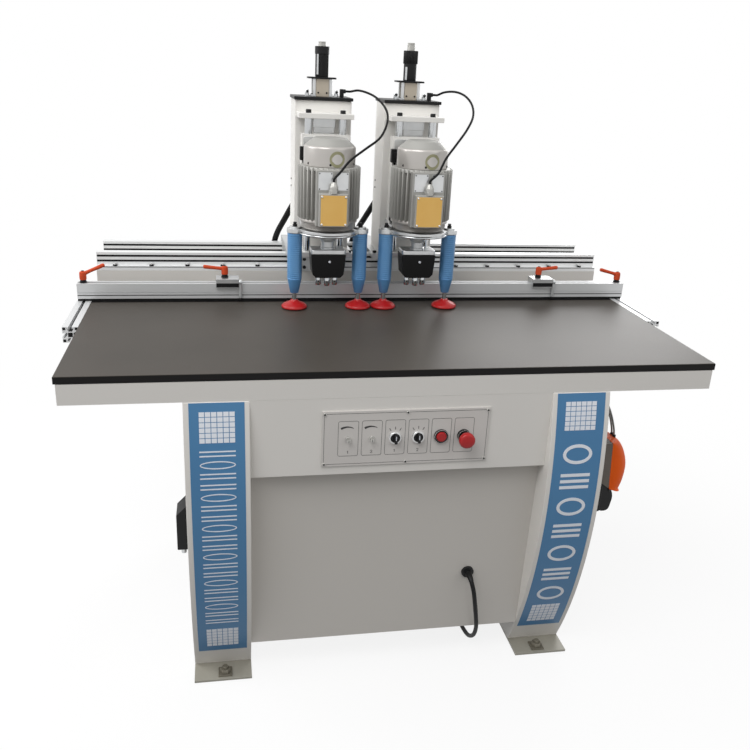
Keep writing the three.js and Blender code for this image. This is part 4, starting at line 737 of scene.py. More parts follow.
def buildRails():
    dress(drawnAluminium, "front_rail", "rear_rail")
    dress(fenceAluminium, "fence")
    dress(drawnAluminiumY, "left_side_profile", "right_side_profile")
    half, ledge, play = rail["half"] - rail["inset"], rail["ledge"], rail["play"]
    y0, y1 = rail["seamY"]
    for name, front in zip(("frontRail", "rearRail"), rail["fronts"]):
        # Painted shade: black strips in both grooves, then the seam line.
        grooveShadesAndSeam = []
        for low, high in rail["grooves"]:
            for y in (front + ledge + rail["grooveShadeDepth"],
                      front + rail["width"] - ledge - rail["grooveShadeDepth"] - rail["grooveShade"]):
                grooveShadesAndSeam.append(slabShell(0, half, y, y + rail["grooveShade"], low + play, high - play))
        seam = rail["seat"] + rail["flange"] - rail["seamDrop"]
        grooveShadesAndSeam.append(slabShell(0, half, front + y0, front + y1, seam, seam + rail["seam"]))
        makePiece(f"{name}GrooveShadesAndSeam", grooveShadesAndSeam, blackPlastic, "base")
        heads = [latheShell(rail["bolt"], (x, front + ledge / 2, rail["seat"] + rail["flange"]), "z", 24)
                 for x in range(-rail["span"], rail["span"] + 1, rail["pitch"])]
        makePiece(f"{name}Bolts", heads, edgeBand, "base")


# Fence with a black strip under it, painted shade for the dark gap over the table, and the slotted profiles beside
# the table.
fence = {"half": 785, "front": 572, "depth": 32, "top": 882.3, "stripInset": 3.5, "strip": (834.4, 841.25),
         "grooveY": (0.5, 1.9), "grooveZ": (849.4, 851.6), "leverX": 769.3, "leverY": 588, "leverDrop": 52.6,
         "leverClimbs": (25, 15)}
sideProfile = {"x": 769.3, "z": 814, "slotHalf": 3.7, "slot": (344, 621), "slotFloor": (822.1, 823.2),
               "end": (342.8, 343.2), "holeX": 14.3, "holeZ": 15.3, "holeHalf": 3.4, "coreHalf": 5.6}


def buildFence():
    half, front, inset = fence["half"], fence["front"], fence["stripInset"]
    y0, y1 = fence["grooveY"]
    # Painted shade: a black strip fills the gap under the fence, and a thin one lies in its front groove.
    under = slabShell(0, half - 0.4, front + inset, front + fence["depth"] - inset, *fence["strip"])
    groove = slabShell(0, half - 0.5, front + y0, front + y1, *fence["grooveZ"])
    makePiece("fenceGapAndGrooveShade", [under, groove], blackPlastic, "fence")
    # Painted shade: dark sheets on the floors of the top slots and in the square holes in the ends of the side
    # profiles.
    holes, z = [], sideProfile["z"]
    hole, core = sideProfile["holeHalf"], sideProfile["coreHalf"]
    for x in (-sideProfile["x"], sideProfile["x"]):
        holes.append(slabShell(x, sideProfile["slotHalf"], *sideProfile["slot"], *sideProfile["slotFloor"]))
        for dx, dz in ((-1, -1), (-1, 1), (1, -1), (1, 1)):
            middle = z + dz * sideProfile["holeZ"]
            holes.append(slabShell(x + dx * sideProfile["holeX"], hole, *sideProfile["end"], middle - hole,
                                   middle + hole))
        holes.append(slabShell(x, core, *sideProfile["end"], z - core, z + core))
    makePiece("profileHoleAndSlotShade", holes, edgeBand, "base")


# Clamp levers of the fence and of the stops.
lever = {
    "hub": [(7.6, 8), (9, 9), (9.2, 16), (9, 25), (8, 29), (5, 31), (0.3, 31.4)], "armHeight": 23,
    "reach": (0, 6, 14, 26, 40, 52, 58), "climbShares": (0, 0.1, 0.26, 0.48, 0.72, 0.94, 1),
    "radii": ((0, 6.2), (10, 5.4), (25, 4.6), (50, 5.4), (56, 4.6), (58, 1.6)),
    "stud": 3.4, "base": [(3.4, 0.4), (9.8, 0.4), (9.8, 3), (8, 4), (7.8, 8.6)], "nut": 5.9, "nutHeight": 3,
    "cap": [(3.6, 31), (3.6, 32.4), (3, 32.8)],
}


# A clamp lever: a turned hub, and an arm whose round section thins and grows again towards its tip. The arm's height
# is arm height + climb * share at each reach, and the drop is the stud's length under the seat.
def buildLever(name, x, y, seat, direction, node, drop, climb):
    at = (x, y, seat)
    reach = np.array(lever["reach"])
    rise = lever["armHeight"] + climb * np.array(lever["climbShares"])
    line = smoothLine(np.stack([x + direction * reach, np.full(len(reach), float(y)), seat + rise], axis=-1), 6)
    radius = np.interp(np.linspace(0, reach[-1], len(line)), *np.array(lever["radii"]).T)
    makePiece(name, [latheShell(lever["hub"], at, "z", 32), tubeShell(line, radius, 18, (0, 1, 0))], leverNylon, node,
              [node])
    base = latheShell([(lever["stud"], -drop)] + lever["base"], at, "z", 32)
    nut = latheShell([(lever["nut"], -drop - lever["nutHeight"]), (lever["nut"], -drop)], at, "z", 6)
    makePiece(f"{name}Base", [base, nut, latheShell(lever["cap"], at, "z", 20)], blackSteel, node)


# Stops on the fence, each with a finger that flips down.
stop = {"left": -388, "right": 525, "half": 31, "front": 562, "depth": 44, "seat": 882.6, "thickness": 15,
        "lipBack": 571.7, "lipDrop": 11, "key": (583.8, 592.2), "keyDrop": 3.6, "bandDrop": 8, "bandRise": 3.5,
        "leverX": -7, "leverY": 588, "leverDrop": 18.8, "leverClimb": 6}
finger = {"x": 3.8, "y": 566.7, "z": 888.6, "rod": [(3.8, 844), (4.2, 846), (4.2, 888.6)],
          "hub": [(6.6, -3.4), (6.9, -2.8), (6.9, 2.8), (6.6, 3.4)], "screw": [(3.2, 3.4), (3.2, 3.55)],
          "tip": [(2.6, 836.2), (3.5, 837), (3.8, 845), (3.4, 847)]}


def buildStops():
    for side, direction in (("left", -1), ("right", 1)):
        x, half, seat, front = stop[side], stop["half"], stop["seat"], stop["front"]
        node = f"{side}_stop_block"
        top = slabShell(x, half, front, front + stop["depth"], seat, seat + stop["thickness"])
        lip = slabShell(x, half, front, stop["lipBack"], seat - stop["lipDrop"], seat + 1)
        key = slabShell(x, half, *stop["key"], seat - stop["keyDrop"], seat + 1)
        makePiece(f"{side}StopBlock", [top, lip, key], milledAluminium, node, [node], bevel=0.7)
        band = slabShell(x, half - 0.6, front - 0.35, front + 0.4, seat - stop["bandDrop"], seat + stop["bandRise"])
        makePiece(f"{side}StopBand", [band], blackSteel, node, bevel=0.2)
        node = f"{side}_stop_finger"
        foot = (x + half + finger["x"], finger["y"], 0)
        pivot = (*foot[:2], finger["z"])
        shells = [latheShell(finger["rod"], foot, "z", 24), latheShell(finger["hub"], pivot, "x", 32),
                  latheShell(finger["screw"], pivot, "x", 6)]
        makePiece(f"{side}StopFinger", shells, turnedSteel, node, [node])
        makePiece(f"{side}StopTip", [latheShell(finger["tip"], foot, "z", 24)], blackPlastic, node)
        buildLever(f"{side}StopLever", x + stop["leverX"], stop["leverY"], seat + stop["thickness"], direction,
                   f"{side}_stop_lever", stop["leverDrop"], stop["leverClimb"])


buildRails()
buildFence()
for side, sign, climb in zip(("left", "right"), (-1, 1), fence["leverClimbs"]):
    buildLever(f"{side}FenceLever", sign * fence["leverX"], fence["leverY"], fence["top"], -sign,
               f"{side}_fence_lever", fence["leverDrop"], climb)
buildStops()
print("fence and stops made")


# Foot pedal on the right leg, heel end down.
pedal = {"inner": 491.3, "face": 499.3, "front": 100, "back": 220, "bottom": 375, "top": 585, "corner": 16,
         "middle": 160, "base": 571.3, "baseTop": 571, "baseCorner": 14, "split": 578, "splitTop": 580, "slant": 9,
         "skin": 0.3, "roof": (574, 579.4), "cheek": (512, 449, 579.5, 584.5), "cheekCorner": 6, "lap": 0.6,
         "baseInset": 3.6,
         "ear": [(565.3, 380), (596, 380), (604, 424), (594, 448), (565.3, 462)], "earCorner": 14,
         "ears": (42.6, 50.8)}
hood = {"low": 424, "wall": 4, "half": 55, "rise": 0.47, "riseFrom": 470, "toe": 638, "roof": 575, "leastReach": 6,
        "bendShare": 0.96,
        "crown": [(585, 580), (599, 578), (616, 568), (634, 542), (644, 511), (645.5, 486), (641, 455), (635, 437),
                  (633.5, 430), (638, 424)],
        "cup": [(631, 440), (630, 430), (618, 423), (604, 416)], "cupInset": 1.6, "cupWall": 2.6}
treadle = {"x": 583.3, "z": 397, "length": 157, "halfThickness": 2.4, "half": 41.7, "lean": 7, "hub": 5.8,
           "pin": 2.6, "pinHalf": 48.5, "ridges": range(16, 152, 8), "ridgeHalf": 38,
           "ridge": ((0, 2.2), (3, 2.2), (2.4, 3.2), (0.6, 3.2))}
airTube = {"radius": 2.5, "spacing": 7,
           "route": [(491.7, 735), (498, 734.6), (505.4, 733.4), (526.9, 722.4), (559.2, 689.2), (583.4, 646.5),
                     (599.7, 599.1), (603.3, 577)],
           "lowNut": [(4.4, -5), (4.4, 4), (3.4, 6)], "highNut": [(6, -0.5), (6, 1.7), (4, 2.9)]}


# The edge where the hood meets the skirt leans outwards towards the heel: split + slant * share of the way down.
def splitAt(z):
    share = (pedal["splitTop"] - z) / (pedal["splitTop"] - hood["low"])
    return pedal["split"] + pedal["slant"] * share


# Hood: at each height the section is two straight sides joined by an arch, whose crown follows the side curve:
# x = split + reach - bend + bend * cos(angle), y = middle - half * sin(angle). Its lower edge rises evenly from the
# toe to the leg.
def hoodArch(crown, z, inset, flat=False, steps=18):
    half = hood["half"] - inset
    near = splitAt(z)
    reach = max(crown - inset - near, hood["leastReach"])
    bend = min(half, hood["bendShare"] * reach)
    angle = np.linspace(math.pi / 2, -math.pi / 2, steps)
    x = near + (0 * angle if flat else reach - bend + bend * np.cos(angle))
    y = pedal["middle"] - half * np.sin(angle)
    x = np.concatenate([[near], x, [near]])
    y = np.concatenate([[y[0]], y, [y[-1]]])
    share = np.clip((hood["riseFrom"] - z) / (hood["riseFrom"] - hood["low"]), 0, 1)
    return np.stack([x, y, z + share * hood["rise"] * (hood["toe"] - x)], axis=-1)


# A wall between two arches, open to the leg; above the roof height the inner arch is flat, which closes the top.
def hoodWall(crown, steps, inset, wall):
    side = smoothLine([(x, 0, z) for x, z in crown], steps)
    rows = [np.concatenate([hoodArch(x, z, inset), hoodArch(x, z, inset + wall, z > hood["roof"])[::-1]])
            for x, _, z in side]
    return gridShell(np.stack(rows))


def buildPedalHood():
    makePiece("pedalHood", [hoodWall(hood["crown"], 6, 0, hood["wall"])], hoodNylonPaintedLight, "base",
              ["pedal_housing"], sharp=50)
    makePiece("pedalHeelCup", [hoodWall(hood["cup"], 4, hood["cupInset"], hood["cupWall"])], blackPlastic, "base",
              sharp=50)
    # The skirt's cheeks run from the sole plate to a short lap under the hood's edge.
    face, wall = pedal["face"] - pedal["skin"], hood["wall"]
    low, heel, toe, high = pedal["cheek"]
    y0, y1 = pedal["middle"] - hood["half"], pedal["middle"] + hood["half"]
    corners = [(face, low), (splitAt(heel) + pedal["lap"], heel), (pedal["split"] + pedal["lap"], toe), (face, high)]
    cheek = roundedOutline(corners, pedal["cheekCorner"])
    skirt = [prismShell(cheek, y0 + 0.2, y0 + wall, "y"), prismShell(cheek, y1 - wall, y1 - 0.2, "y"),
             boxShell(face, pedal["split"] + 0.4, y0 + 2, y1 - 2, *pedal["roof"])]
    makePiece("pedalSkirt", skirt, warmGrey, "base", bevel=1.0)


def buildPedalBase():
    middle, face, bottom = pedal["middle"], pedal["face"], pedal["bottom"]
    sole = roundedOutline(rectangle(pedal["front"], pedal["back"], bottom, pedal["top"]), pedal["corner"], 8)
    half = hood["half"] - pedal["baseInset"]
    base = roundedOutline(rectangle(middle - half, middle + half, bottom, pedal["baseTop"]), pedal["baseCorner"], 8)
    ear = roundedOutline(pedal["ear"], pedal["earCorner"], 10)
    near, far = pedal["ears"]
    pin = [(treadle["pin"], -treadle["pinHalf"]), (treadle["pin"], treadle["pinHalf"])]
    shells = [prismShell(sole, pedal["inner"], face, "x"), prismShell(base, face - pedal["skin"], pedal["base"], "x"),
              latheShell(pin, (treadle["x"], middle, treadle["z"]), "y", 20),
              prismShell(ear, middle - far, middle - near, "y"), prismShell(ear, middle + near, middle + far, "y")]
    makePiece("pedalBase", shells, blackPlastic, "base", bevel=1.6, segments=3)


# A point of the treadle, seen from the side: pivot + along * (sine, cosine) of its lean + out * (cosine, -sine).
def onTread(along, out):
    lean = math.radians(treadle["lean"])
    x = treadle["x"] + math.sin(lean) * along + math.cos(lean) * out
    return x, treadle["z"] + math.cos(lean) * along - math.sin(lean) * out


def buildTreadle():
    middle, half, thick = pedal["middle"], treadle["half"], treadle["halfThickness"]
    outline = [(0, -thick), (0, thick), (treadle["length"], thick), (treadle["length"], -thick)]
    tread = prismShell([onTread(*corner) for corner in outline], middle - half, middle + half, "y")
    hub = latheShell([(treadle["hub"], -half), (treadle["hub"], half)], (treadle["x"], middle, treadle["z"]), "y", 28)
    ridges = [prismShell([onTread(start + along, out) for along, out in treadle["ridge"]],
                         middle - treadle["ridgeHalf"], middle + treadle["ridgeHalf"], "y")
              for start in treadle["ridges"]]
    makePiece("pedalTread", [tread, hub] + ridges, blackPlastic, "pedal_treadle",
              ["pedal_treadle"], bevel=0.5)


def buildAirTubes():
    nuts, (highX, highZ), (lowX, lowZ) = [], airTube["route"][0], airTube["route"][-1]
    for place, side in (("Front", -1), ("Rear", 1)):
        y = pedal["middle"] + side * airTube["spacing"]
        line = smoothLine([(x, y, z) for x, z in airTube["route"]], 6)
        tube = makePiece(f"pedal{place}AirTube", [tubeShell(line, airTube["radius"], 14, (0, 1, 0))], airTubeNylon,
                         "base")
        nuts.append(latheShell(airTube["lowNut"], (lowX, y, lowZ), "z", 16))
        nuts.append(latheShell(airTube["highNut"], (highX, y, highZ), "x", 20))
    makePiece("pedalTubeNuts", nuts, blackPlastic, "base")


buildPedalHood()
buildPedalBase()
buildTreadle()
buildAirTubes()
print("pedal made")


# The drilling heads, from the column up and then to the front.
column = {"half": 77, "front": 656, "back": 786, "low": 950.8, "top": 1368, "screwY": 752, "screwZ": (1148, 1128),
          "screw": [(2.6, 0.4), (2.6, -1.2), (1.8, -1.8)]}
carriage = {
    "half": 95, "front": 655, "back": 915, "low": 936.3, "high": 951.3, "keel": (748.3, 869.7), "keelDrop": 22,
    "apron": (697.7, 705.7), "apronHalf": 55, "apronDrop": 46, "apronScrew": [(5, 0), (5, 3.4), (4.2, 4)],
    "apronScrewX": (-42, 42), "apronScrewZ": (900, 924), "deckScrew": [(5.5, 0), (5.5, 5), (4.8, 5.6)],
    "deckScrewX": (-86, 86), "deckScrewY": 668,
}
# The conduit's path is given in shares of its reach to the side, to the back and down.
conduit = {
    "radius": 9, "start": -18, "side": 57, "out": 150.5, "drop": 395, "top": 1168, "inside": 0.5,
    "path": [(0, 0, 0), (0.07, 0.147, 0.046), (0.526, 0.347, 0.197), (1.123, 0.587, 0.38), (1.649, 0.827, 0.562),
             (1.754, 0.953, 0.722), (1.386, 1, 0.861), (1.035, 1, 0.957), (1, 1, 1)],
    "lugHalf": 20, "lugLow": 755, "lugHigh": 773.5, "lugBack": 945, "strap": 4,
    "collar": [(11, 3), (11, -6), (10, -8)],
}


# The conduit's middle line: each of its three measures is a start plus or less a reach * share.
def conduitLine(dx):
    side, back, down = np.array(conduit["path"]).T
    x = dx + conduit["start"] - conduit["side"] * side
    y = column["back"] - conduit["inside"] + conduit["out"] * back
    z = conduit["top"] - conduit["drop"] * down
    return smoothLine(np.stack([x, y, z], axis=-1), 8)


def buildColumn(side, dx):
    body = f"{side}_carriage"
    post = slabShell(dx, column["half"], column["front"], column["back"], column["low"], column["top"])
    makePiece(f"{side}Column", [post], warmCoat, body, [f"{side}_column"], bevel=2.2, segments=3)
    half, low, high = carriage["half"], carriage["low"], carriage["high"]
    plates = [
        slabShell(dx, half, carriage["front"], carriage["back"], low, high),
        slabShell(dx, half, *carriage["keel"], low - carriage["keelDrop"], low + 1),
        slabShell(dx, carriage["apronHalf"], *carriage["apron"], low - carriage["apronDrop"], low + 1),
    ]
    makePiece(f"{side}Carriage", plates, milledAluminium, body, bevel=1.0)
    screws = [latheShell(carriage["apronScrew"], (dx + x, carriage["apron"][0], z), "y", 24)
              for x in carriage["apronScrewX"] for z in carriage["apronScrewZ"]]
    screws += [latheShell(carriage["deckScrew"], (dx + x, carriage["deckScrewY"], high), "z", 24)
               for x in carriage["deckScrewX"]]
    makePiece(f"{side}CarriageScrews", screws, blackSteel, body)


def buildConduit(side, dx):
    body = f"{side}_carriage"
    line = conduitLine(dx)
    hose = makePiece(f"{side}Conduit", [tubeShell(line, conduit["radius"], 20, (1, 0.4, 0))], cordJacket, body)
    x, half = dx + conduit["start"] - conduit["side"], conduit["lugHalf"]
    low, back = conduit["lugLow"], carriage["back"]
    strap = slabShell(x, half, back - 0.5, back + conduit["strap"], low, carriage["high"])
    lug = slabShell(x, half, back, conduit["lugBack"], low, conduit["lugHigh"])
    makePiece(f"{side}ConduitLug", [strap, lug], galvanised, body, bevel=0.8)


# Two screws on the column's left side, and the collar where the conduit leaves it behind.
def buildColumnDetails(side, dx):
    body = f"{side}_carriage"
    screws = [latheShell(column["screw"], (dx - column["half"], column["screwY"], z), "x", 16)
              for z in column["screwZ"]]
    makePiece(f"{side}ColumnScrews", screws, blackSteel, body)
    collar = latheShell(conduit["collar"], (dx + conduit["start"], column["back"], conduit["top"]), "y", 24)
    makePiece(f"{side}ConduitCollar", [collar], blackPlastic, body)


cap = {"half": 80, "front": 648, "back": 790, "low": 1368.3, "high": 1376.3}
# The tower stands half a millimetre to the right of the head's middle.
tower = {
    "shift": 0.5, "front": 690, "back": 736, "top": 1422.3, "blockHalf": 17.5, "postX": 22.5, "postHalf": 3.6,
    "postY": (4, 42), "postDeep": 4, "footX": 23.5, "footHalf": 6, "footHeight": 5,
    "frontScrew": [(2.4, -1), (2.4, 1.6), (1.8, 2.2)], "frontScrewX": 11.5, "frontScrewRise": 10,
    "footScrew": [(3, -1), (3, 1.8), (2.4, 2.4)], "footScrewX": 27, "footScrewY": 21, "footScrewRise": 4.6,
    "plateHalf": 39, "plateFront": 682, "plateBack": 744, "plateCorner": 14, "plateTop": 1426.3,
}


def buildCap(side, dx):
    plate = slabShell(dx, cap["half"], cap["front"], cap["back"], cap["low"], cap["high"])
    makePiece(f"{side}CapPlate", [plate], blackSteel, f"{side}_carriage", [f"{side}_column_cap"],
              bevel=1.0)


def buildTower(side, dx):
    body = f"{side}_carriage"
    x, front, back, top, seat = dx + tower["shift"], tower["front"], tower["back"], tower["top"], cap["high"]
    block = slabShell(x, tower["blockHalf"], front + 1, back - 1, seat - 0.5, top)
    makePiece(f"{side}StopTower", [block], tanAlloy, body, bevel=1.4)
    deep = tower["postDeep"]
    posts = [slabShell(x + s * tower["postX"], tower["postHalf"], front + y - deep, front + y + deep, seat - 0.4, top)
             for s in (-1, 1) for y in tower["postY"]]
    posts += [slabShell(x + s * tower["footX"], tower["footHalf"], front - 2, back + 2, seat - 0.3,
                        seat + tower["footHeight"]) for s in (-1, 1)]
    makePiece(f"{side}TowerPosts", posts, milledAluminium, body, bevel=1.0)
    y, z = front + 1, seat + tower["frontScrewRise"]
    screws = [latheShell(tower["frontScrew"], (x + s * tower["frontScrewX"], y, z), "y", 20) for s in (-1, 1)]
    y, z = front + tower["footScrewY"], seat + tower["footScrewRise"]
    screws += [latheShell(tower["footScrew"], (x + s * tower["footScrewX"], y, z), "z", 20) for s in (-1, 1)]
    makePiece(f"{side}TowerScrews", screws, blackSteel, body)
    half = tower["plateHalf"]
    disc = roundedOutline(rectangle(dx - half, dx + half, tower["plateFront"], tower["plateBack"]),
                          tower["plateCorner"])
    makePiece(f"{side}TowerPlate", [prismShell(disc, top - 0.4, tower["plateTop"], "z")], blackSteel, body,
              bevel=0.6)


fittings = {
    "socket": (48, 58.5, 684, 696), "socketRise": 21.5, "nut": [(5.4, -1), (5.4, 4), (4.4, 6)], "y": 690,
    "valveX": (-42, 38), "valve": [(6, -0.4), (6, 8), (5, 9), (5, 15), (4, 18)],
    "elbow": [(3.4, -6), (3.4, 8), (2.6, 9)], "elbowY": 684, "elbowRise": 13,
}


# The motor cable's socket and the air fittings on the cap plate.
def buildFittings(side, dx):
    body, seat = f"{side}_carriage", cap["high"]
    x0, x1, y0, y1 = fittings["socket"]
    outlet = boxShell(dx + x0, dx + x1, y0, y1, seat - 0.4, seat + fittings["socketRise"])
    nut = latheShell(fittings["nut"], (dx + x1, fittings["y"], motorCable["high"][2]), "x", 24)
    makePiece(f"{side}CableSocket", [outlet, nut], blackPlastic, body, bevel=1.0)
    valves = [latheShell(fittings["valve"], (dx + x, fittings["y"], seat), "z", 24) for x in fittings["valveX"]]
    makePiece(f"{side}AirFittings", valves, chrome, body)
    elbows = [latheShell(fittings["elbow"], (dx + x, fittings["elbowY"], seat + fittings["elbowRise"]), "y", 18)
              for x in fittings["valveX"]]
    makePiece(f"{side}AirElbows", elbows, blackPlastic, body)


# Heights are taken from the sleeve's top. The left sleeve is knurled under a smooth collar, and the right one has a
# knurled collar on a smooth barrel.
sleeve = {
    "y": 713, "low": 1426.6, "top": 1504.6, "scale": (-15.5, -11, -15, -8),
    "left": {"radius": 18, "from": -78, "to": -4, "teeth": 40, "depth": 0.5, "scaleHeights": (6, 58), "pin": 12,
             "smooth": [(18.5, -20), (19.6, -19), (19.6, -1), (18.6, 0)]},
    "right": {"radius": 20, "from": -34, "to": 0, "teeth": 30, "depth": 0.8, "scaleHeights": (2, 36), "pin": 20,
              "smooth": [(17.6, -78), (17.9, -77), (17.9, -30)]},
    "pinRadius": 10.5, "pinHead": [(10.5, -6), (9.4, -5.4), (9.4, -3), (10.5, -2.4), (10.5, -1), (9.6, 0)],
}


# Rings stacked along z, each with a radius of its own at every step: point = centre + radius * ring.
def stackShell(levels, x, y):
    rows = []
    for radius, z in levels:
        cosine, sine = ringOf(len(radius))
        rows.append(np.stack([x + radius * cosine, y + radius * sine, np.full(len(radius), float(z))], axis=-1))
    return gridShell(np.stack(rows))


# The knurl is a fine wave on the radius, which shrinks a millimetre at both ends: radius = mean + depth *
# cos(teeth * angle).
def knurlShell(plan, top, x, y):
    angle = np.linspace(0, 2 * math.pi, plan["teeth"] * 4, endpoint=False)
    wave = plan["radius"] - plan["depth"] + plan["depth"] * np.cos(plan["teeth"] * angle)
    low, high = top + plan["from"], top + plan["to"]
    return stackShell([(wave - 1, low), (wave, low + 1), (wave, high - 1), (wave - 1, high)], x, y)


def buildSleeve(side, dx):
    plan, node = sleeve[side], f"{side}_depth_sleeve"
    y, low, top = sleeve["y"], sleeve["low"], sleeve["top"]
    shells = [knurlShell(plan, top, dx, y), latheShell(plan["smooth"], (dx, y, top), "z", 48)]
    if side == "right":
        shells.reverse()  # the lower shell comes first
    makePiece(f"{side}DepthSleeve", shells, blackPlastic, node, [node])
    x0, x1, y0, y1 = sleeve["scale"]
    z0, z1 = plan["scaleHeights"]
    scale = boxShell(dx + x0, dx + x1, y + y0, y + y1, low + z0, low + z1)
    makePiece(f"{side}SleeveScale", [scale], milledAluminium, node, bevel=0.3)
    foot = [(sleeve["pinRadius"], -plan["pin"] - 1)]
    pin = latheShell(foot + sleeve["pinHead"], (dx, y, top + plan["pin"]), "z", 32)
    makePiece(f"{side}SleevePin", [pin], galvanised, node)


guide = {"x": 46, "half": 73, "y": 600, "front": 578, "shelves": ((957, 970), (1325, 1338)),
         "rod": [(10, 969), (10, 1326)], "bolt": [(7.4, 1338), (7.4, 1345.6), (6.4, 1347)]}
liftCylinder = {"half": 28, "front": 627.7, "back": 655.7, "low": 1104, "high": 1325, "endHalf": 30,
                "endFront": 627.2, "ends": ((1104.2, 1136), (1299, 1325))}


def buildGuides(side, dx):
    body = f"{side}_carriage"
    shelves = [slabShell(dx, guide["half"], guide["front"], column["front"] - 0.3, z0, z1)
               for z0, z1 in guide["shelves"]]
    makePiece(f"{side}Shelves", shelves, warmCoat, body, [f"{side}_slide_guides"], bevel=1.0)
    places = [(dx + s * guide["x"], guide["y"], 0) for s in (-1, 1)]
    rods = [latheShell(guide["rod"], place, "z", 40) for place in places]
    makePiece(f"{side}GuideRods", rods, chrome, body)
    heads = [latheShell(guide["bolt"], place, "z", 24) for place in places]
    makePiece(f"{side}RodBolts", heads, blackSteel, body)
    lift = liftCylinder
    barrel = [slabShell(dx, lift["half"], lift["front"], lift["back"], lift["low"], lift["high"])]
    barrel += [slabShell(dx, lift["endHalf"], lift["endFront"], lift["back"], z0, z1) for z0, z1 in lift["ends"]]
    makePiece(f"{side}LiftCylinder", barrel, milledAluminium, body, bevel=2.0)


slide = {"coverHalf": 60, "low": 1059, "high": 1279, "corner": 8, "front": 582.4, "back": 584.2}
# Position switch at the slide's left edge: its body, the boss on it, the plug that its lead ends in on the mount
# plate, and three clips. All are taken from one point on the slide.
switch = {
    "x": -62, "y": 575, "radius": 2.6,
    "boxes": [(-8, 7, -7, 9.4, 1219, 1254), (-1, 7, -9.5, -6.5, 1228, 1246), (-5, 7, -6, 6, 1062, 1083),
              (-1, 9, -3.4, 9.4, 1110, 1116), (-1, 9, -3.4, 9.4, 1160, 1166), (-1, 9, -3.4, 9.4, 1205, 1211)],
    "lead": [(2, 0, 1224), (4, 0, 1205), (4, 0, 1110), (2, 0, 1084), (2, 0, 1066), (5, 0, 1058), (13, -1, 1053),
             (17, -1, 1048)],
}


def buildSlide(side, dx):
    body = f"{side}_drill_head"
    dress(warmCoat, f"{side}_motor_slide")
    half = slide["coverHalf"]
    cover = roundedOutline(rectangle(dx - half, dx + half, slide["low"], slide["high"]), slide["corner"])
    makePiece(f"{side}SlideCover", [prismShell(cover, slide["front"], slide["back"], "y")], milledAluminium, body,
              bevel=0.5)
    x, y = dx + switch["x"], switch["y"]
    housing = [boxShell(x + x0, x + x1, y + y0, y + y1, z0, z1) for x0, x1, y0, y1, z0, z1 in switch["boxes"]]
    makePiece(f"{side}SlideSwitch", housing, blackPlastic, body, bevel=1.2)
    lead = smoothLine(np.array(switch["lead"]) + (x, y, 0), 6)
    makePiece(f"{side}SwitchLead", [tubeShell(lead, switch["radius"], 12, (0, 1, 0))], cordJacket, body)


motor = {
    "axis": 500, "tip": 81.4, "root": 67, "fins": 36, "low": 1082, "high": 1216, "finEnd": 0.97,
    "shield": [(62, 1053.2), (66, 1054.5), (70, 1057), (72, 1060), (72, 1071), (74, 1073), (76, 1075), (76, 1082),
               (74, 1084)],
    "band": [(74, 1206), (76.5, 1207.5), (76.5, 1214.5), (75, 1215.8)],
    "pad": (43, 412.2, 480, 1072, 1213), "plates": ((-38, -2), (8, 38)), "plate": (411.4, 412.4, 1164, 1208),
    "rivetX": (-35, -5, 11, 35), "rivetZ": (1167, 1205), "rivet": [(1.6, 0), (1.6, 0.8), (0.9, 1.3)],
}
terminalBox = {
    "box": (37, 394.5, 412.4, 1074, 1158), "lid": (36.4, 392.1, 396, 1074.8, 1157.2), "plateHalf": 33,
    "plateZ": (1078, 1154), "plateCorner": 3, "plateY": (391.5, 392.4), "screwX": 30, "screwY": 391.6,
    "screwZ": (1081.5, 1150.5), "screw": [(2.6, 0), (2.6, 1.2), (2, 1.7)], "glandY": 402, "glandZ": 1157.6,
    "nut": [(13, 0), (13, 8), (11.4, 9)], "dome": [(11, 8), (11, 16), (10.4, 18), (7.6, 24), (4.4, 28.4)],
}


# The finned barrel: the radius steps between root and tip with a clipped wave, so each fin has sloping sides, and
# both ends are drawn in a little: radius = root + fin height * (0.3 + 1.6 * cos(fins * angle), kept within 0 and 1).
def finShell(dx):
    angle = np.linspace(0, 2 * math.pi, motor["fins"] * 10, endpoint=False)
    wave = np.clip(0.3 + 1.6 * np.cos(motor["fins"] * angle), 0, 1)
    radius = motor["root"] + (motor["tip"] - motor["root"]) * wave
    low, high, end = motor["low"], motor["high"], motor["finEnd"] * radius
    return stackShell([(end, low + 0.3), (radius, low + 3), (radius, high - 3), (end, high - 0.3)], dx, motor["axis"])


def buildMotor(side, dx):
    body = f"{side}_drill_head"
    axis = (dx, motor["axis"], 0)
    band = latheShell(motor["band"], axis, "z", 72)
    makePiece(f"{side}MotorBarrel", [finShell(dx), band], castAluminium, body, [f"{side}_motor"],
              sharp=50)
    shield = latheShell(motor["shield"], axis, "z", 72)
    makePiece(f"{side}EndShield", [shield], cowlPaint, body, sharp=50)
    makePiece(f"{side}MotorPad", [slabShell(dx, *motor["pad"])], castAluminium, body, bevel=2.4,
              segments=3)
    plates = [boxShell(dx + x0, dx + x1, *motor["plate"]) for x0, x1 in motor["plates"]]
    makePiece(f"{side}MotorPlates", plates, milledAluminium, body, bevel=0.4)
    rivets = [latheShell(motor["rivet"], (dx + x, motor["plate"][0], z), "y", 12)
              for x in motor["rivetX"] for z in motor["rivetZ"]]
    makePiece(f"{side}PlateRivets", rivets, blackSteel, body)


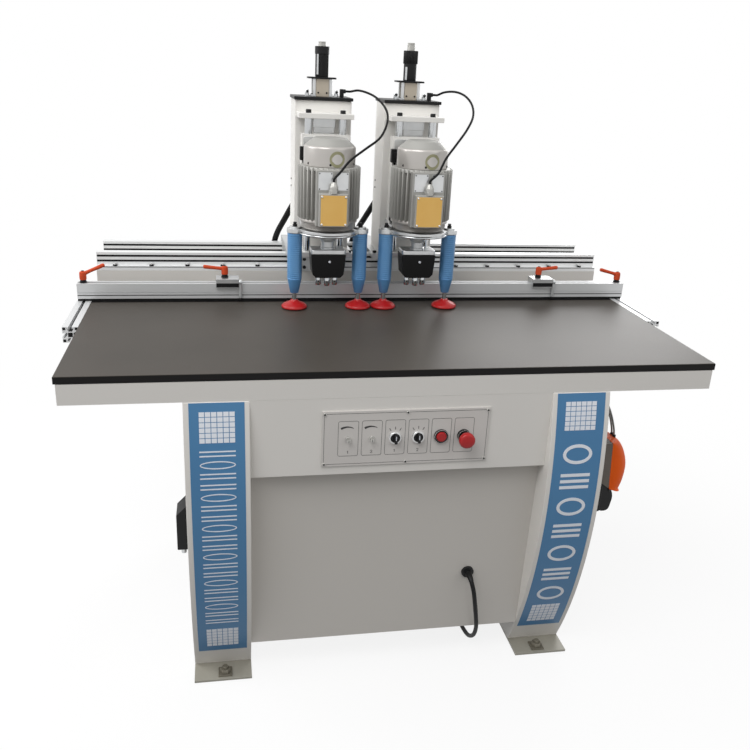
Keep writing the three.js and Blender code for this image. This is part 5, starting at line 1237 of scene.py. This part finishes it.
def buildTerminalBox(side, dx):
    body, box = f"{side}_drill_head", terminalBox
    makePiece(f"{side}TerminalBox", [slabShell(dx, *box["box"]), slabShell(dx, *box["lid"])], castAluminium, body,
              bevel=2.0, segments=3)
    half = box["plateHalf"]
    plate = roundedOutline(rectangle(dx - half, dx + half, *box["plateZ"]), box["plateCorner"])
    makePiece(f"{side}AmberPlate", [prismShell(plate, *box["plateY"], "y")], amberLacquer, body, bevel=0.2)
    screws = [latheShell(box["screw"], (dx + s * box["screwX"], box["screwY"], z), "y", 16)
              for s in (-1, 1) for z in box["screwZ"]]
    makePiece(f"{side}TerminalScrews", screws, chrome, body)
    at = (dx, box["glandY"], box["glandZ"])
    makePiece(f"{side}CableGland", [latheShell(box["nut"], at, "z", 6), latheShell(box["dome"], at, "z", 32)],
              galvanised, body, bevel=0.5)


cowl = {
    "radius": 66.9,
    "skirt": [(64.5, 1216.3), (66.6, 1216.9), (66.9, 1219.3), (66.9, 1260), (66.3, 1263), (64.8, 1265.4),
              (62.6, 1266.8), (61.4, 1266.9)],
    "cone": [(62.4, 1266), (62.6, 1267.2), (61.4, 1268.6), (46.5, 1281), (44, 1283.4), (40.6, 1284.9), (34, 1285.2),
             (0.3, 1285.2)],
    "plateHeight": 1237, "plateAngle": -80, "plateHole": 0.2, "ring": (20, 0.5), "disc": (12.5, 0.8),
    "screws": (-150, -95, -30, 60, 130), "screwRing": 66.5, "screwHeight": 1223.3, "screw": [(3, -1), (3, 1)],
}


# A round plate bent onto the cowl: angle = plate angle + radius * cos / cowl radius, height = middle + radius * sin,
# with its rim on the cowl and its face so far proud of it.
def bentDisc(dx, radius, proud):
    cosine, sine = ringOf(40)
    rows = []
    for reach, rise in ((radius, 0.0), (radius, proud), (cowl["plateHole"], proud)):
        angle = math.radians(cowl["plateAngle"]) + reach * cosine / cowl["radius"]
        outer = cowl["radius"] + rise
        rows.append(np.stack([dx + outer * np.cos(angle), motor["axis"] + outer * np.sin(angle),
                              cowl["plateHeight"] + reach * sine], axis=-1))
    return gridShell(np.stack(rows))


def buildCowl(side, dx):
    body = f"{side}_drill_head"
    axis = (dx, motor["axis"], 0)
    makePiece(f"{side}FanCowl", [latheShell(cowl["skirt"], axis, "z", 72)], cowlPaint, body,
              [f"{side}_fan_cowl"], sharp=50)
    # The cone gets the darker cast-aluminium paint: painted shade that darkens it against the skirt.
    makePiece(f"{side}CowlCone", [latheShell(cowl["cone"], axis, "z", 72)], castAluminium, body,
              sharp=50)
    makePiece(f"{side}CowlRing", [bentDisc(dx, *cowl["ring"])], goldFoil, body, sharp=60)
    makePiece(f"{side}CowlDisc", [bentDisc(dx, *cowl["disc"])], printedSheet, body, sharp=60)
    reach = cowl["screwRing"]
    screws = [latheShell(cowl["screw"], (dx + reach * math.cos(angle), motor["axis"] + reach * math.sin(angle),
                                         cowl["screwHeight"]), "y", 14) for angle in np.radians(cowl["screws"])]
    makePiece(f"{side}CowlScrews", screws, blackSteel, body)


clamp = {
    "offset": 87.5, "low": 1040, "high": 1052.7, "plateFrom": 6, "noseRadius": 78, "tailHalf": 64, "tailFrom": 545,
    "tailBack": 649.5, "boss": [(54, 1040), (58, 1047)],
    "lobe": [(20.4, 1040), (21.6, 1041.6), (21.6, 1051.7), (20.8, 1052.7)],
    "barrelTip": [(10.6, 877), (11.4, 878), (19.2, 915), (19.8, 918)], "barrelTop": (19.8, 1040.2),
    "ridgesFrom": 919, "ridgesTo": 1036, "ridgePitch": 5.6, "ridgeDepth": 0.8,
    "cap": [(15.6, 1052.4), (15.6, 1055.6), (14.2, 1057)],
    "fitting": [(6, 1056), (6, 1062), (4.4, 1062.6), (4.4, 1068)],
    "bow": (200, 340), "bowPoints": 30, "bowRadius": 80, "bowShift": 5, "bowHeight": 1042, "bowThickness": 2.8,
    "foot": [(32.2, 836), (34.4, 837), (34.8, 839.5), (33.6, 842), (29.2, 845.8), (21.6, 849.6), (14.6, 852.4),
             (10.6, 855), (9.2, 857.8), (6.4, 858)], "rod": [(5.9, 857), (5.9, 922)],
}


# The barrel has fine turned grooves: its radius dips once a pitch, by depth * the positive half of a cosine. They
# are drawn as coarse as they need to show.
def barrelProfile():
    radius, start, pitch = clamp["barrelTop"][0], clamp["ridgesFrom"], clamp["ridgePitch"]
    z = np.arange(start, clamp["ridgesTo"], pitch / 4)
    dip = clamp["ridgeDepth"] * np.maximum(0.0, np.cos(2 * math.pi * (z - start) / pitch))
    return clamp["barrelTip"] + list(zip(radius - dip, z)) + [clamp["barrelTop"]]


# The mount plate has a half-round nose around the motor's axis and a straight tail back to the slide.
def mountPlate(dx):
    axis, nose, tail = motor["axis"], clamp["noseRadius"], clamp["tailHalf"]
    arc = np.radians(np.linspace(180, 360, 40))
    outline = [(dx + nose * math.cos(a), axis + nose * math.sin(a)) for a in arc]
    outline += [(dx + nose, axis), (dx + tail, clamp["tailFrom"]), (dx + tail, clamp["tailBack"]),
                (dx - tail, clamp["tailBack"]), (dx - tail, clamp["tailFrom"]), (dx - nose, axis)]
    return prismShell(outline, clamp["low"] + clamp["plateFrom"], clamp["high"], "z")


def buildClamps(side, dx):
    body = f"{side}_drill_head"
    centres = [(dx + s * clamp["offset"], motor["axis"], 0) for s in (-1, 1)]
    plate = [mountPlate(dx), latheShell(clamp["boss"], (dx, motor["axis"], 0), "z", 64)]
    plate += [latheShell(clamp["lobe"], centre, "z", 48) for centre in centres]
    makePiece(f"{side}MountPlate", plate, milledAluminium, body, [f"{side}_clamp_unit"], bevel=1.2)
    barrels = [latheShell(barrelProfile(), centre, "z", 48) for centre in centres]
    makePiece(f"{side}ClampBarrels", barrels, blueBarrel, body, sharp=60)
    caps = [latheShell(clamp["cap"], centre, "z", 48) for centre in centres]
    makePiece(f"{side}ClampCaps", caps, milledAluminium, body)
    tips = [latheShell(clamp["fitting"], centre, "z", 20) for centre in centres]
    makePiece(f"{side}ClampFittings", tips, blackPlastic, body)
    bow, reach = np.radians(np.linspace(*clamp["bow"], clamp["bowPoints"])), clamp["bowRadius"]
    line = np.stack([dx + reach * np.cos(bow), motor["axis"] + reach * np.sin(bow) + clamp["bowShift"],
                     np.full(len(bow), float(clamp["bowHeight"]))], axis=-1)
    makePiece(f"{side}ChromeBow", [tubeShell(line, clamp["bowThickness"], 14)], chrome, body)


def buildFoot(side, which, x):
    node, name = f"{side}_{which}_clamp_foot", f"{side}{which.capitalize()}"
    axis = (x, motor["axis"], 0)
    makePiece(f"{name}Foot", [latheShell(clamp["foot"], axis, "z", 64)], redGloss, node, [node],
              sharp=50)
    makePiece(f"{name}FootRod", [latheShell(clamp["rod"], axis, "z", 32)], chrome, node)


gearbox = {
    "neck": [(19, 998.8), (19, 1003), (17.2, 1004.4), (17.2, 1018), (20.6, 1020.4), (21, 1021), (21, 1031),
             (19.4, 1032.4), (19.4, 1040.4)],
    "housing": [(-47, 987), (-42, 933), (-33, 924), (33, 924), (42, 933), (47, 987)], "front": 470, "back": 530,
    "coverHalf": 46, "coverY": (471, 529), "coverZ": (986.5, 999.4), "coverCorner": 8,
    "nippleX": 3, "nippleZ": 968, "nipple": [(3.4, -0.5), (3.4, 1.6), (2.2, 3.2)],
}


def buildGearbox(side, dx):
    body = f"{side}_drill_head"
    makePiece(f"{side}GearboxNeck", [latheShell(gearbox["neck"], (dx, motor["axis"], 0), "z", 56)], turnedSteel, body,
              [f"{side}_gearbox"])
    outline = [(dx + x, z) for x, z in gearbox["housing"]]
    makePiece(f"{side}GearboxHousing", [prismShell(outline, gearbox["front"], gearbox["back"], "y")], blackLacquer,
              body, bevel=2.4, segments=3)
    half = gearbox["coverHalf"]
    outline = roundedOutline(rectangle(dx - half, dx + half, *gearbox["coverY"]), gearbox["coverCorner"])
    makePiece(f"{side}GearboxCover", [prismShell(outline, *gearbox["coverZ"], "z")], milledAluminium, body,
              bevel=2.6, segments=3)
    nipple = latheShell(gearbox["nipple"], (dx + gearbox["nippleX"], gearbox["front"], gearbox["nippleZ"]), "y", 20)
    makePiece(f"{side}GreaseNipple", [nipple], whiteVinyl, body)


chuck = {"places": {"centre": (0, 0), "left": (-22.5, 9.5), "right": (22.5, 9.5)},
         "body": [(5.4, 895.9), (6.6, 896.4), (7.9, 899), (7.9, 920), (7.2, 921), (7.2, 923.6)],
         "screw": [(2.3, 7.2), (2.3, 8.0)], "screwZ": 908, "bore": [(4.2, 895.5), (4.2, 896.2)]}


def buildChuck(side, which, x, y):
    node, name = f"{side}_{which}_chuck", f"{side}{which.capitalize()}Chuck"
    makePiece(name, [latheShell(chuck["body"], (x, y, 0), "z", 32)], chrome, node, [node])
    screw = latheShell(chuck["screw"], (x, y, chuck["screwZ"]), "y", 12)
    # The black disc at the chuck's lower end is painted shade for its bore.
    bore = latheShell(chuck["bore"], (x, y, 0), "z", 24)
    makePiece(f"{name}Screw", [screw, bore], blackSteel, node)


# The inner foot is the one towards the other head.
def buildHead(side, dx):
    for build in (buildMotorCable, buildColumn, buildConduit, buildColumnDetails, buildCap, buildTower, buildFittings,
                  buildSleeve, buildGuides, buildSlide, buildMotor, buildTerminalBox, buildCowl, buildClamps):
        build(side, dx)
    inward = 1 if side == "left" else -1
    for which, sign in (("inner", inward), ("outer", -inward)):
        buildFoot(side, which, dx + sign * clamp["offset"])
    buildGearbox(side, dx)
    for which, (x, y) in chuck["places"].items():
        buildChuck(side, which, dx + x, motor["axis"] + y)
    print(side, "head made")


for side, dx in (("left", -123), ("right", 123)):
    buildHead(side, dx)


# One for rays from the camera, and for rays that metal or glass sends on; else nought.
def raySeen(tree):
    ray = addNode(tree, "ShaderNodeLightPath").outputs
    metal = addNode(tree, "ShaderNodeMath", {"operation": "MAXIMUM"},
                    {0: ray["Is Glossy Ray"], 1: ray["Is Transmission Ray"]})
    return addNode(tree, "ShaderNodeMath", {"operation": "MAXIMUM"},
                   {0: ray["Is Camera Ray"], 1: metal.outputs[0]}).outputs[0]


studio = {
    "floorHalf": 12, "floorLevel": -0.0005, "floorGrey": 0.86, "glowFrom": 0.7, "glowTo": 2.6, "glowLeast": 0.84,
    "air": 0.55, "aim": (0, 0, 0.7),
    "lamps": {  # place, width and power
        "keyLamp": ((-2.0, -2.2, 4.6), 3.0, 125), "sideLamp": ((-3.6, 0.6, 2.8), 2.5, 70),
        "windowLamp": ((2.0, 2.9, 2.0), 1.8, 45), "fillLamp": ((3.0, -2.6, 3.4), 3.0, 20),
    },
}


# Floor, world and lamps, in metres.
def buildStudio():
    material, tree, place = startMaterial("studioFloor")
    seen = raySeen(tree)
    grey = studio["floorGrey"]
    matt = addNode(tree, "ShaderNodeBsdfDiffuse", {"Color": (grey, grey, grey, 1)})
    glow = addNode(tree, "ShaderNodeEmission", {"Color": (1, 1, 1, 1)}, {"Strength": seen})
    # The share of glow grows with the distance from the machine, so that the far floor meets the wall unseen.
    far = addNode(tree, "ShaderNodeVectorMath", {"operation": "LENGTH"}, {0: place})
    share = addNode(tree, "ShaderNodeMapRange",
                    {"From Min": studio["glowFrom"], "From Max": studio["glowTo"], "To Min": studio["glowLeast"],
                     "To Max": 1.0, "interpolation_type": "SMOOTHSTEP"}, {"Value": far.outputs["Value"]})
    both = addNode(tree, "ShaderNodeMixShader", {},
                   {0: share.outputs["Result"], 1: matt.outputs[0], 2: glow.outputs[0]})
    addNode(tree, "ShaderNodeOutputMaterial", {}, {"Surface": both.outputs[0]})
    mesh = bpy.data.meshes.new("floor")
    half, level = studio["floorHalf"], studio["floorLevel"]
    mesh.from_pydata([(x, y, level) for x, y in rectangle(-half, half, -half, half)], [], [(0, 1, 2, 3)])
    mesh.materials.append(material)
    floor = bpy.data.objects.new("floor", mesh)
    bpy.context.scene.collection.objects.link(floor)

    world = bpy.data.worlds.new("studio")
    world.use_nodes = True
    tree = world.node_tree
    tree.nodes.clear()
    seen = raySeen(tree)
    air = addNode(tree, "ShaderNodeBackground", {"Color": (1, 1, 1, 1), "Strength": studio["air"]})
    wall = addNode(tree, "ShaderNodeBackground", {"Color": (1, 1, 1, 1), "Strength": 1.0})
    both = addNode(tree, "ShaderNodeMixShader", {}, {0: seen, 1: air.outputs[0], 2: wall.outputs[0]})
    addNode(tree, "ShaderNodeOutputWorld", {}, {"Surface": both.outputs[0]})
    bpy.context.scene.world = world

    for name, (place, width, power) in studio["lamps"].items():
        data = bpy.data.lights.new(name, "AREA")
        data.size = width
        data.energy = power
        lamp = bpy.data.objects.new(name, data)
        lamp.location = place
        lamp.visible_camera = False
        lamp.rotation_euler = (Vector(studio["aim"]) - Vector(place)).to_track_quat("-Z", "Y").to_euler()
        bpy.context.scene.collection.objects.link(lamp)
    bpy.context.scene.view_settings.view_transform = "Standard"


buildStudio()
print("studio made")
